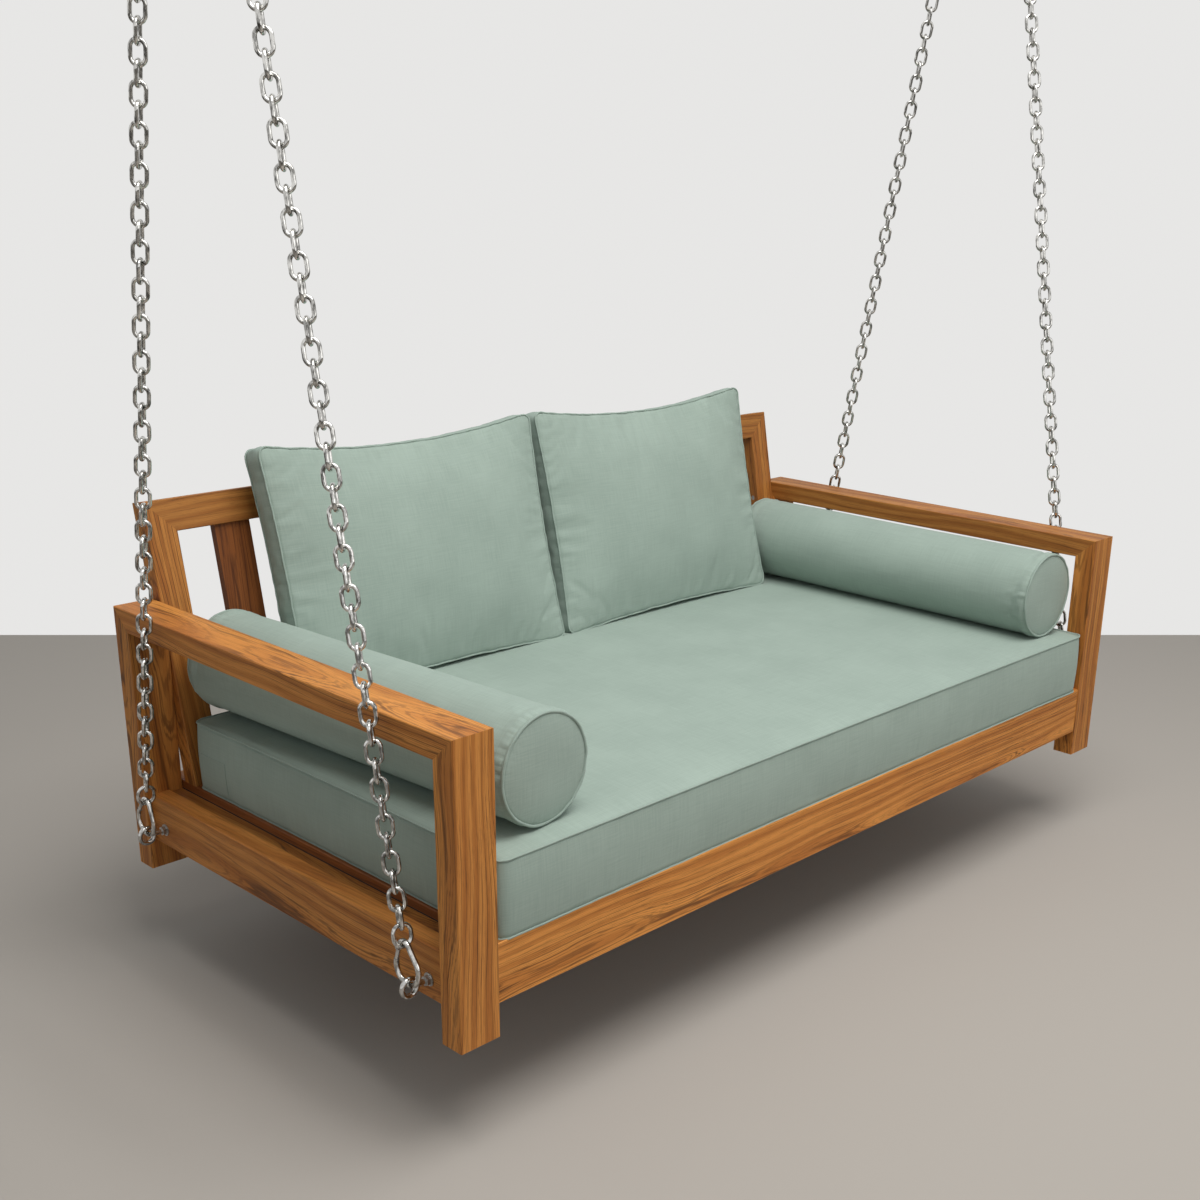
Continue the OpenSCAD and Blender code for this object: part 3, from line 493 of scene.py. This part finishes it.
# %% Canvas materials
def cloth(name, pale, deep, strength):
    """Canvas between two tones, with a soft sheen; strength is that of its weave."""
    made, tree, shader = new_material(name)
    place = node(tree, "ShaderNodeTexCoord", (-800, 0)).outputs["UV"]
    group = node(tree, "ShaderNodeGroup", (-600, 0), node_tree=canvas)
    tree.links.new(place, group.inputs["Vector"])
    share = ramp(tree, group.outputs["Tone"], 0.36, 0.64, (-400, 200))
    feed(tree, shader, Base_Color=blended(tree, share, (*deep, 1), (*pale, 1), (-200, 100)))
    bumped(tree, shader, group.outputs["Height"], strength, 0.0004)
    shader.inputs["Roughness"].default_value = 0.92
    shader.inputs["Sheen Weight"].default_value = 0.18
    shader.inputs["Sheen Roughness"].default_value = 0.5
    shader.inputs["Sheen Tint"].default_value = (0.75, 0.85, 0.80, 1)
    return made


sage = cloth("sage canvas", (0.352, 0.436, 0.382), (0.292, 0.366, 0.320), 0.5)
sage_piping = cloth("sage piping", (0.342, 0.424, 0.373), (0.287, 0.361, 0.316), 0.35)
print("canvas materials:", sage.name, "and", sage_piping.name)

# %% [markdown]
# ## Boxed covers
# A mattress or a boxed cushion is two panels joined by a side band, with a piped seam round each
# panel. It starts as a box that is cut into a fine grid, edge direction by edge direction, so that
# the seams stay single clean loops. The grid is then moved into the stuffed shape: corners are
# rounded, faces rise towards the middle, edges draw in between corners, and short puckers run
# away from each seam where the thread gathers the cloth.

# %% Box cut into a grid
NEAR = 1e-6                             # two lengths in metres that differ by less are the same
UV_STEP = (0.37, 0.21)                  # moves each direction's faces to another patch of the weave


def cut_edges(mesh, axis, cuts):
    """Cuts every edge that lies along an axis into cuts + 1 pieces."""
    bpy.ops.object.mode_set(mode="EDIT")
    bpy.ops.mesh.select_mode(type="EDGE")
    bpy.ops.mesh.select_all(action="DESELECT")
    bpy.ops.object.mode_set(mode="OBJECT")
    for edge in mesh.edges:
        run = mesh.vertices[edge.vertices[1]].co - mesh.vertices[edge.vertices[0]].co
        edge.select = abs(run[axis]) > 0.99 * run.length
    bpy.ops.object.mode_set(mode="EDIT")
    bpy.ops.mesh.subdivide(number_cuts=cuts)
    bpy.ops.object.mode_set(mode="OBJECT")


def box_grid(name, size, cuts):
    """A closed box centred on the origin, cut into a grid, with a UV map in metres."""
    deselect()
    bpy.ops.mesh.primitive_cube_add(size=1, calc_uvs=True)
    made = bpy.context.object
    made.name = name
    made.scale = size
    bpy.ops.object.transform_apply(location=False, rotation=False, scale=True)
    for axis in (0, 1, 2):
        cut_edges(made.data, axis, cuts[axis])
    layer = made.data.uv_layers.active.data
    for face in made.data.polygons:
        flat = max(range(3), key=lambda a: abs(face.normal[a]))
        u, v = [a for a in range(3) if a != flat]
        for loop in face.loop_indices:
            point = made.data.vertices[made.data.loops[loop].vertex_index].co
            layer[loop].uv = (point[u] + UV_STEP[0] * flat, point[v] + UV_STEP[1] * flat)
    return made


print("box grid ready")

# %% [markdown]
# ## The stuffed shape
# Filling lifts a panel most in its middle and hardly at its seam, so the rise follows a rounded
# curve from 1 to 0. The thread's pull is uneven, which two layers of noise along the seam copy.

# %% The stuffed shape
def swell(share):
    """Share of the crown at a distance from the middle, 1 being the edge."""
    return (1 - min(1.0, abs(share)) ** 2.4) ** 0.6


def rounded(x, y, half_x, half_y, radius):
    """Moves a point of a rectangle onto one with round corners."""
    over_x, over_y = abs(x) - (half_x - radius), abs(y) - (half_y - radius)
    if over_x <= 0 or over_y <= 0:
        return x, y
    fit = max(over_x, over_y) / math.hypot(over_x, over_y)
    return (math.copysign(half_x - radius + over_x * fit, x),
            math.copysign(half_y - radius + over_y * fit, y))


def pucker(run, seed, rate):
    """Uneven gathers along a seam, with rate folds or so in a metre."""
    wide = noise.noise(Vector((run * rate, seed, 0.3)))
    return wide + 0.6 * noise.noise(Vector((run * rate * 2.3, seed + 9, 0.7)))


print("a tenth of the way in, the crown has", round(swell(0.9), 2), "of its rise")

# %% [markdown]
# ## From grid to cover
# Every vertex is moved by the same rules: its place in the rectangle gives the rise and the draw of
# the edges, and its distance from the nearest seam gives how much of the gathers it feels. The
# numbers of the seams' vertices are kept, because the piping and the stuffing both need them.

# %% The stuffed cover
FOLDS, SWAYS = 34, 17                   # folds and in-plane bends of a seam in a metre, roughly
BULGE = 0.003                           # how far the side band stands out between its seams
REACH, BAND_REACH = 0.030, 0.012        # folds die away over these distances on a panel and a band
SWAY_REACH = 0.025
HEM = 0.004                             # the strip beside a seam that its stitches keep flat


def drawn_in(x, y, half_x, half_y, draw, radius):
    """Rounds the corners and pulls the edges in between them, by draw = (sides, foot, head)."""
    px, py = rounded(x, y, half_x, half_y, radius)
    u, v = px / half_x, py / half_y
    sides = 1 - draw[0] / half_x * (1 - v * v)
    ends = 1 - draw[1 if y < 0 else 2] / half_y * (1 - u * u)
    return px * sides, py * ends, swell(u) * swell(v)


def stuff(made, size, crown, draw, radius, seed, gather):
    """Moves a flat grid into a stuffed cover and returns the vertex numbers of its two seams."""
    half_x, half_y, half_z = (s / 2 for s in size)
    low, high = [], []
    for vertex in made.data.vertices:
        x, y, z = vertex.co
        on_top, on_bottom = z > half_z - NEAR, z < -half_z + NEAR
        rim_x, rim_y = half_x - abs(x), half_y - abs(y)
        edge = min(rim_x, rim_y)
        if edge < NEAR and (on_top or on_bottom):
            (high if on_top else low).append(vertex.index)
        at_side = rim_x < rim_y
        run = y if at_side else x + 5
        fold = pucker(run, seed + (3 if z > 0 else 7), FOLDS)
        px, py, rise = drawn_in(x, y, half_x, half_y, draw, radius)
        sway = gather * 0.9 * pucker(run, seed + 5, SWAYS) * math.exp(-edge / SWAY_REACH)
        px += math.copysign(sway, x) if at_side else 0
        py += 0 if at_side else math.copysign(sway, y)
        if on_top or on_bottom:
            fade = math.exp(-edge / REACH) * (1 - math.exp(-edge / HEM))
            z = z + (crown[0] * rise if on_top else -crown[1] * rise)
            z += (1 if on_top else -1) * gather * fade * 2.2 * fold
        else:
            level = z / half_z
            near = math.exp(-(1 - abs(level)) * half_z / BAND_REACH) * (1 - abs(level)) * 3
            out = BULGE * (1 - level * level) + gather * near * fold
            px += math.copysign(out, x) if rim_x < NEAR else 0
            py += math.copysign(out, y) if rim_y < NEAR else 0
        vertex.co = (px, py, z)
    return low, high


print("side bands bulge by", BULGE, "m")

# %% [markdown]
# ## Piping
# The cord in a piped seam is a tube along the seam's loop. A curve with a round bevel makes it in
# one go: its points are the seam's vertices in their order, lifted a little off the cover's edge,
# with a slight waver, because a sewn cord never runs quite straight.

# %% A seam's points in their order
def in_order(mesh, chosen):
    """The chosen vertices in their order round the loop that they form."""
    chosen = set(chosen)
    beside = {index: [] for index in chosen}
    for edge in mesh.edges:
        a, b = edge.vertices
        if a in chosen and b in chosen:
            beside[a].append(b)
            beside[b].append(a)
    start = min(chosen)
    order, last = [start], None
    while True:
        ahead = [b for b in beside[order[-1]] if b != last and (b not in order[1:])]
        ahead = [b for b in ahead if b != start or len(order) > 2]
        if not ahead or ahead[0] == start:
            return order
        last = order[-1]
        order.append(ahead[0])


print("seams can be followed")


# %% Piping and finishing
def smooth(made, material):
    """Shades a piece smoothly and gives it its one material."""
    only(made)
    bpy.ops.object.shade_smooth()
    made.data.materials.clear()
    made.data.materials.append(material)


def piping(name, cover, loop, radius=0.0020, lift=0.0008, waver=0.0009):
    """A round cord sewn into a seam: a tube that follows the seam's loop, lifted off its edge."""
    mesh = cover.data
    curve = bpy.data.curves.new(name, "CURVE")
    curve.dimensions = "3D"
    curve.bevel_depth = radius
    curve.bevel_resolution = 2
    spline = curve.splines.new("POLY")
    order = in_order(mesh, loop)
    spline.points.add(len(order) - 1)
    for point, index in zip(spline.points, order):
        spot = mesh.vertices[index].co
        wobble = waver * noise.noise(spot * 45)
        place = spot + mesh.vertices[index].normal * (lift + wobble)
        point.co = (*place, 1)
    spline.use_cyclic_u = True
    tube = bpy.data.objects.new(name, curve)
    bpy.context.scene.collection.objects.link(tube)
    only(tube)
    bpy.ops.object.convert(target="MESH")
    tube = bpy.context.object
    smooth(tube, sage_piping)
    return tube


def place_piece(made, move):
    """Moves every vertex by a rule, so the object itself stays at the origin."""
    for vertex in made.data.vertices:
        vertex.co = move(vertex.co)
    made.data.update()


print("piping ready")

# %% [markdown]
# ## Stuffing
# A sewn cover is held at its seams and pushed out by its filling everywhere else, which is why the
# cloth gathers into small folds beside each seam. The cloth simulation does just that: the seam
# points are pinned, the cloth between them is cut a little too large, and air pressure stands in
# for the filling. The result is applied to the mesh, so nothing is left to simulate, and how far a
# point may move is softly capped.

# %% Cloth simulation
def inflate(made, held_points, pressure, ease, cap, frames=20):
    """Runs the cloth simulation on a cover whose held points are pinned, and applies it."""
    scene = bpy.context.scene
    start = [vertex.co.copy() for vertex in made.data.vertices]
    held = made.vertex_groups.new(name="seam")
    held.add(held_points, 1.0, "REPLACE")
    only(made)
    cloth_maker = made.modifiers.new("cloth", "CLOTH")
    settings = cloth_maker.settings
    settings.quality = 5
    settings.mass = 0.3
    settings.tension_stiffness = settings.compression_stiffness = 15
    settings.shear_stiffness = 5
    settings.bending_stiffness = 0.3
    settings.vertex_group_mass = held.name
    settings.use_pressure = True
    settings.uniform_pressure_force = pressure
    settings.shrink_min = -ease
    settings.effector_weights.gravity = 0
    cloth_maker.point_cache.frame_start, cloth_maker.point_cache.frame_end = 1, frames
    for frame_number in range(1, frames + 1):
        scene.frame_set(frame_number)
    bpy.ops.object.modifier_apply(modifier=cloth_maker.name)
    scene.frame_set(1)
    most = 0
    for vertex, before in zip(made.data.vertices, start):
        step = vertex.co - before
        most = max(most, step.length)
        if step.length > NEAR:
            vertex.co = before + step * (cap * math.tanh(step.length / cap) / step.length)
    made.vertex_groups.clear()
    print("inflated", made.name, "by", round(most * 1000, 1), "mm at most, capped at", cap * 1000, "mm")


print("cloth is", "simulated")

# %% [markdown]
# ## Mattress
# A twin mattress in a boxed cover, piped at its top and bottom edges. Its box comes from the CAD
# node, so it stays inside the arms.

# %% Mattress
DECK, THICKNESS = 0.1783, 0.144         # the deck above the leg ends, and the mattress's thickness
ROOM_ROUND = 0.002                      # the cover keeps this much inside the CAD node's box
low_corner, high_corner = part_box("mattress")
mattress_top = -CEILING + DECK + THICKNESS
fine = 1.0
size = (high_corner.x - low_corner.x - ROOM_ROUND, high_corner.y - low_corner.y - ROOM_ROUND, THICKNESS)
mattress = box_grid("mattress_cover", size, (int(200 * fine), int(100 * fine), 15))
seams = stuff(mattress, size, (0.013, 0.0), (0.004, 0.004, 0.004), 0.022, 11.0, 0.0011)
on_slats = [vertex.index for vertex in mattress.data.vertices if vertex.co.z < 0.0005 - THICKNESS / 2]
inflate(mattress, seams[1] + on_slats, 1.2, 0.002, 0.004, 12)
middle = ((low_corner.x + high_corner.x) / 2, (low_corner.y + high_corner.y) / 2, mattress_top - THICKNESS / 2)
place_piece(mattress, lambda p: p + Vector(middle))
smooth(mattress, sage)
cords = [piping("mattress_piping_" + name, mattress, loop) for name, loop in zip(("low", "high"), seams)]
for piece in [mattress] + cords:
    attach(piece, "bed")
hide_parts("mattress")
print("mattress", [round(s, 3) for s in size], len(mattress.data.polygons), "faces")

# %% [markdown]
# ## Zip tab
# The cover's zip ends under a small stitched tab on the left side, near the rear. It is a flat grid
# that is projected onto the side band, so it follows the band's bulge, and then given the
# thickness of doubled cloth.

# %% Zip tab
deselect()
bpy.ops.mesh.primitive_grid_add(x_subdivisions=16, y_subdivisions=16, size=1, calc_uvs=True)
tab = bpy.context.object
tab.name = "mattress_zip_tab"
tab.scale = (0.074, 0.090, 1)           # its height and length
tab.rotation_euler = (0, -QUARTER, 0)
tab.location = (low_corner.x - 0.015, high_corner.y - 0.074, mattress_top - 0.098)
bpy.ops.object.transform_apply(location=True, rotation=True, scale=True)
for face in tab.data.polygons:
    for loop in face.loop_indices:
        point = tab.data.vertices[tab.data.loops[loop].vertex_index].co
        tab.data.uv_layers.active.data[loop].uv = (point.y + 0.4, point.z + 0.2)
wrap = tab.modifiers.new("wrap", "SHRINKWRAP")
wrap.wrap_method, wrap.target, wrap.use_project_x, wrap.offset = "PROJECT", mattress, True, 0.0
wrap.use_positive_direction = True
bpy.ops.object.modifier_apply(modifier=wrap.name)
doubled = tab.modifiers.new("doubled cloth", "SOLIDIFY")
doubled.thickness, doubled.offset = 0.0022, 0.0
bpy.ops.object.modifier_apply(modifier=doubled.name)
smooth(tab, sage_piping)
bpy.ops.object.shade_smooth_by_angle(angle=math.radians(40))
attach(tab, "bed")
print("zip tab", len(tab.data.polygons), "faces, x from", round(min(v.co.x for v in tab.data.vertices), 4))

# %% [markdown]
# ## Seam beads
# A near-black rod closes the joint between each side ledge and the outer deck slat, so the lit floor
# doesn't show through it; its colour is painted shade, standing in for the shadow in that groove. The
# bead is a slim rod that lies in the groove of the two bevelled edges, with small swellings along it.

# %% Seam beads
BEAD_RADIUS = 0.00112
shade_bead_paint, tree, shader = new_material("painted shade bead")
place = node(tree, "ShaderNodeTexCoord", (-800, 0)).outputs["Object"]
grit = noisy(tree, place, 220.0, 3.0, 0.6, (-500, 0))
# Two near-black tones: painted shade for the groove of the joint.
tree.links.new(blended(tree, grit, (0.012, 0.009, 0.007, 1), (0.035, 0.026, 0.020, 1), (-300, 0)),
               shader.inputs["Base Color"])
shader.inputs["Roughness"].default_value = 0.85
slat_low, slat_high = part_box("deck_slats")
bead_length = slat_high.y - slat_low.y - 0.004
for side, name in ((-1, "left"), (1, "right")):
    deselect()
    groove = slat_low.x if side < 0 else slat_high.x
    bpy.ops.mesh.primitive_cylinder_add(vertices=10, radius=BEAD_RADIUS, depth=bead_length,
                                        rotation=(QUARTER, 0, 0))
    bead = bpy.context.object
    bead.name = "seam_bead_" + name
    bpy.ops.object.transform_apply(location=False, rotation=True, scale=False)
    cut_edges(bead.data, 1, 60)
    spot = Vector((groove + side * 0.00015, (slat_low.y + slat_high.y) / 2, slat_low.z))
    for vertex in bead.data.vertices:
        swelling = 1 + 0.10 * noise.noise(Vector((vertex.co.y * 60, side, 0)))
        vertex.co = Vector((vertex.co.x * swelling, vertex.co.y, vertex.co.z * swelling)) + spot
    smooth(bead, shade_bead_paint)
    bpy.ops.object.shade_smooth_by_angle(angle=math.radians(40))
    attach(bead, "bed")
    print("seam bead", name, "x", round(groove, 4))

# %% [markdown]
# ## Back cushions
# Two pillow-backed cushions lean on the slats. Each has a narrow band, so its faces do most of the
# swelling, and its top edge sags between the corners. The cushion is shaped lying flat, then stood
# on its front foot, leaned back, and pressed flat where it meets the mattress and the back.

# %% Back cushions
WIDTH, HEIGHT, BAND = 0.744, 0.543, 0.052
LEAN = math.radians(13.4)
ARM_HEIGHT, BACK_FACE = 0.564, 0.502    # the back frame's face lies at this Y at the arms' height
FOOT_GAP = 0.124                        # the cushion's foot stands this far in front of that face


def back_wall(z):
    """Where the back frame's face is at a height, in the part's frame."""
    return BACK_FACE + (z + CEILING - ARM_HEIGHT) * math.tan(LEAN_BACK) - 0.0004


foot_y = BACK_FACE - (ARM_HEIGHT - (DECK + THICKNESS)) * math.tan(LEAN_BACK) - FOOT_GAP
for side, name in ((-1, "left"), (1, "right")):
    box_low, box_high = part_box("back_cushion_" + name)
    foot = Vector(((box_low.x + box_high.x) / 2, foot_y, box_low.z))
    cushion = box_grid("back_cushion_cover_" + name, (WIDTH, HEIGHT, BAND), (int(110 * fine), int(80 * fine), 6))
    crown = ((0.030, 0.043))
    seams = stuff(cushion, (WIDTH, HEIGHT, BAND), crown, (0.011, 0.015, 0.032), 0.022, 20.0 + side, 0.0023)
    inflate(cushion, seams[0] + seams[1], 4.0, 0.010, 0.030)

    def lean(p):
        up, back = p.y + HEIGHT / 2, BAND / 2 - p.z
        y = foot.y + up * math.sin(LEAN) + back * math.cos(LEAN)
        z = foot.z + max(0.0, up * math.cos(LEAN) - back * math.sin(LEAN))
        return Vector((foot.x + p.x, min(y, back_wall(z)), z))

    place_piece(cushion, lean)
    smooth(cushion, sage)
    cords = [piping(f"back_cushion_piping_{name}_{end}", cushion, loop)
             for end, loop in zip(("rear", "front"), seams)]
    for piece in [cushion] + cords:
        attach(piece, "bed")
    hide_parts("back_cushion_" + name)
    print("back cushion", name, len(cushion.data.polygons), "faces")

# %% [markdown]
# ## Bolsters
# A bolster is one long sleeve with a round panel sewn into each end. The seam is piped, and the
# sleeve is gathered where it meets the panel, which gives the fan of short creases there. The left
# one lies a little turned on the mattress, as someone left it.

# %% A bolster's cover, before it is stuffed
BOLSTER_RADIUS, BOLSTER_LENGTH, BOLSTER_TURN = 0.106, 0.9308, math.radians(3)
sleeve_radius = BOLSTER_RADIUS - 0.0025
sleeve_half = (BOLSTER_LENGTH - 0.016) / 2
PANEL_RINGS = 11


def bolster_blank(name):
    """A sleeve cut into rings, whose two round ends are inset again and again into a web."""
    deselect()
    bpy.ops.mesh.primitive_cylinder_add(vertices=int(220 * fine), radius=sleeve_radius, depth=2 * sleeve_half,
                                        end_fill_type="NGON", rotation=(QUARTER, 0, 0))
    made = bpy.context.object
    made.name = name
    bpy.ops.object.transform_apply(location=False, rotation=True, scale=False)
    cut_edges(made.data, 1, int(150 * fine))
    for end in (-1, 1):
        bpy.ops.object.mode_set(mode="EDIT")
        bpy.ops.mesh.select_mode(type="FACE")
        bpy.ops.mesh.select_all(action="DESELECT")
        bpy.ops.object.mode_set(mode="OBJECT")
        for face in made.data.polygons:
            face.select = len(face.vertices) > 4 and face.center.y * end > 0
        bpy.ops.object.mode_set(mode="EDIT")
        for ring in range(PANEL_RINGS):
            bpy.ops.mesh.inset(thickness=sleeve_radius / (PANEL_RINGS + 1.5))
        bpy.ops.mesh.poke()
        bpy.ops.object.mode_set(mode="OBJECT")
    return made


print("bolster sleeve", round(2 * sleeve_half, 3), "m long")

# %% [markdown]
# ## A bolster's gathers
# The sleeve is a little longer round than the panel that closes it, so its edge is eased in with
# small folds that die away along the sleeve. The panel is stretched by the filling into a shallow
# dome. The folds run round the seam, so their noise is read on a circle, where it closes on itself.

# %% Gathers and domed ends
SLEEVE_REACH, PANEL_REACH = 0.022, 0.012
DOME = 0.006                            # how far the filling pushes a round panel out


def gather_bolster(made, seed):
    """Puts folds beside the two seams, and returns each seam's vertex numbers."""
    seams = {-1: [], 1: []}
    for vertex in made.data.vertices:
        x, y, z = vertex.co
        away, turn = math.hypot(x, z), math.atan2(z, x)
        if abs(abs(y) - sleeve_half) < NEAR and abs(away - sleeve_radius) < 1e-5:
            seams[-1 if y < 0 else 1].append(vertex.index)
        folds = noise.noise(Vector((math.cos(turn) * 8.0, math.sin(turn) * 8.0, seed + (3 if y > 0 else 0))))
        folds += 0.8 * noise.noise(Vector((math.cos(turn) * 16.0, math.sin(turn) * 16.0, seed + 20)))
        if away > sleeve_radius - 1e-5:
            gap = sleeve_half - abs(y)
            fade = math.exp(-gap / SLEEVE_REACH) * (1 - math.exp(-gap / HEM))
            slack = 0.0012 * noise.noise(Vector((math.cos(turn) * 1.4, y * 4, math.sin(turn) * 1.4 + seed)))
            grow = 1 + (0.0062 * fade * folds + slack * min(1, gap / 0.05)) / sleeve_radius
            grow -= 0.0022 / sleeve_radius * math.exp(-gap / 0.012)
            vertex.co = (x * grow, y, z * grow)
        else:
            inward = sleeve_radius - away
            dome = DOME * (1 - (away / sleeve_radius) ** 2.2)
            fade = math.exp(-inward / PANEL_REACH) * (1 - math.exp(-inward / 0.003))
            vertex.co = (x * 0.98, math.copysign(sleeve_half + dome + 0.0008 * fade * folds, y), z * 0.98)
    return seams


print("gathers ready")

# %% [markdown]
# ## The weave on a bolster
# A cylinder's own map is a fraction of its round, which would stretch the weave. Here the sleeve is
# unrolled to its real length in metres, and the angle is kept whole for each face, so that the weave
# doesn't run backwards across the seam.

# %% The weave's map on a bolster
def unroll(made):
    """Lays the weave straight along the sleeve and flat on the round panels, in metres."""
    layer = made.data.uv_layers.active or made.data.uv_layers.new(name="UVMap")
    for face in made.data.polygons:
        on_panel = abs(face.center.y) > sleeve_half - 1e-4
        facing = math.atan2(face.center.z, face.center.x)
        for loop in face.loop_indices:
            point = made.data.vertices[made.data.loops[loop].vertex_index].co
            angle = math.atan2(point.z, point.x)
            if abs(angle - facing) > math.pi:
                angle -= math.copysign(2 * math.pi, angle - facing)
            layer.data[loop].uv = (point.x, point.z) if on_panel else (angle * sleeve_radius, point.y)


print("sleeve unrolls to", round(2 * math.pi * sleeve_radius, 3), "m round")

# %% [markdown]
# ## The two bolsters in place
# Each cover is stuffed lying along the bed, then turned and moved to the middle of its CAD node.
# Its underside is pressed flat where it rests on the mattress.

# %% Bolsters
for name, seed, yaw in (("left", 4.0, BOLSTER_TURN), ("right", 13.0, 0.0)):
    made = bolster_blank("bolster_cover_" + name)
    seams = gather_bolster(made, seed)
    unroll(made)
    inflate(made, seams[-1] + seams[1], 3.0, 0.004, 0.005)
    box_low, box_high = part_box("bolster_" + name)
    middle = (box_low + box_high) / 2
    laid = Matrix.Rotation(yaw, 3, "Z")
    lowest = -BOLSTER_RADIUS + 0.0003   # the mattress presses it flat here
    place_piece(made, lambda p: laid @ Vector((p.x, p.y, max(p.z, lowest))) + middle)
    smooth(made, sage)
    cords = [piping(f"bolster_piping_{name}_{end}", made, seams[key], 0.0029, 0.0004, 0.0018)
             for key, end in ((-1, "front"), (1, "rear"))]
    for piece in [made] + cords:
        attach(piece, "bed")
    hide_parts("bolster_" + name)
    print("bolster", name, len(made.data.polygons), "faces")

# %% [markdown]
# ## Room
# The swing hangs over a plain pale floor in front of a pale wall. The wall only shows from its
# front and only to the camera, mirrors and glass, so it never hides the swing from a camera behind
# it, and it neither lights nor shades the room.

# %% Floor and wall
FLOOR = -CEILING - 0.20                 # 200 mm below the legs
FACING = Vector((-0.6830, -0.7303, 0))  # the way that the wall looks, at the camera
WALL_AWAY = 2.044                       # from the part's middle back to the wall


def matt(name, colour):
    """A plain dull surface."""
    made, tree, shader = new_material(name)
    feed(tree, shader, Base_Color=(*colour, 1), Roughness=0.9)
    return made


def flat_panel(name, place, turn, material):
    """A wide plane of the room, with its material."""
    deselect()
    bpy.ops.mesh.primitive_plane_add(size=60, location=place, rotation=turn)
    made = bpy.context.object
    made.name = name
    made.data.materials.append(material)
    print(name, "at", [round(c, 2) for c in place])


print("room planes ready")


# %% A wall that only shows from its front
def seen_ray(tree):
    """1 for a ray that ends in the picture: straight, mirrored or through glass."""
    rays = node(tree, "ShaderNodeLightPath", (-600, 200))
    shown = maths(tree, "MAXIMUM", rays.outputs["Is Camera Ray"], rays.outputs["Is Glossy Ray"], (-400, 200))
    return maths(tree, "MAXIMUM", shown, rays.outputs["Is Transmission Ray"], (-250, 200))


def one_sided(name, colour):
    """A plain backdrop that only shows from its front, and neither lights nor shades the room."""
    made, tree, shader = new_material(name)
    tree.nodes.remove(shader)
    glow = feed(tree, node(tree, "ShaderNodeEmission", (0, 100)), Color=(*colour, 1))
    clear = node(tree, "ShaderNodeBsdfTransparent", (0, -100))
    shown = seen_ray(tree)
    behind = node(tree, "ShaderNodeNewGeometry", (-600, -200)).outputs["Backfacing"]
    shown = maths(tree, "MULTIPLY", shown, maths(tree, "SUBTRACT", 1.0, behind, (-300, -200)), (-150, 0))
    mix = node(tree, "ShaderNodeMixShader", (200, 0))
    tree.links.new(shown, mix.inputs[0])
    tree.links.new(clear.outputs[0], mix.inputs[1])
    tree.links.new(glow.outputs[0], mix.inputs[2])
    tree.links.new(mix.outputs[0], tree.nodes["Material Output"].inputs["Surface"])
    return made


flat_panel("floor", (0, 0, FLOOR), (0, 0, 0), matt("pale floor", (0.43, 0.395, 0.36)))
flat_panel("wall", FACING * -WALL_AWAY + Vector((0, 0, FLOOR)), FACING.to_track_quat("Z", "Y").to_euler(),
           one_sided("pale wall", (0.80, 0.795, 0.785)))

# %% [markdown]
# ## Light
# Two broad lamps stand in for studio softboxes, one high above and a weaker one in front, and a pale
# world fills the shadows. Broad lamps give the soft edge that the shadow under the bed has. They are
# set so low that a colour renders about as it is written.

# %% Lights and world
SEAT = (0, 0, -1.6)                     # both lamps aim at the seat


def softbox(name, place, width, power, colour):
    """A broad rectangular lamp that aims at the seat; power is in watts."""
    lamp = bpy.data.lights.new(name, "AREA")
    lamp.shape = "RECTANGLE"
    lamp.size, lamp.size_y = width
    lamp.energy = power
    lamp.color = colour
    made = bpy.data.objects.new(name, lamp)
    bpy.context.scene.collection.objects.link(made)
    made.location = place
    made.rotation_euler = (Vector(SEAT) - Vector(place)).to_track_quat("-Z", "Y").to_euler()
    print(name, power, "W")


softbox("key softbox", (-0.3, -1.5, 2.1), (3.2, 2.6), 156, (1.0, 0.985, 0.96))
softbox("front softbox", (0.2, -5.0, 0.2), (2.4, 2.4), 24, (1.0, 0.99, 0.975))
world = bpy.data.worlds.new("room")
bpy.context.scene.world = world
world.use_nodes = True
air = world.node_tree
LIT, SEEN = (0.338, 0.352, 0.352, 1), (0.85, 0.848, 0.845, 1)
feed(air, air.nodes["Background"], Color=blended(air, seen_ray(air), LIT, SEEN, (-150, 0)), Strength=1.0)
bpy.context.scene.view_settings.view_transform = "Standard"
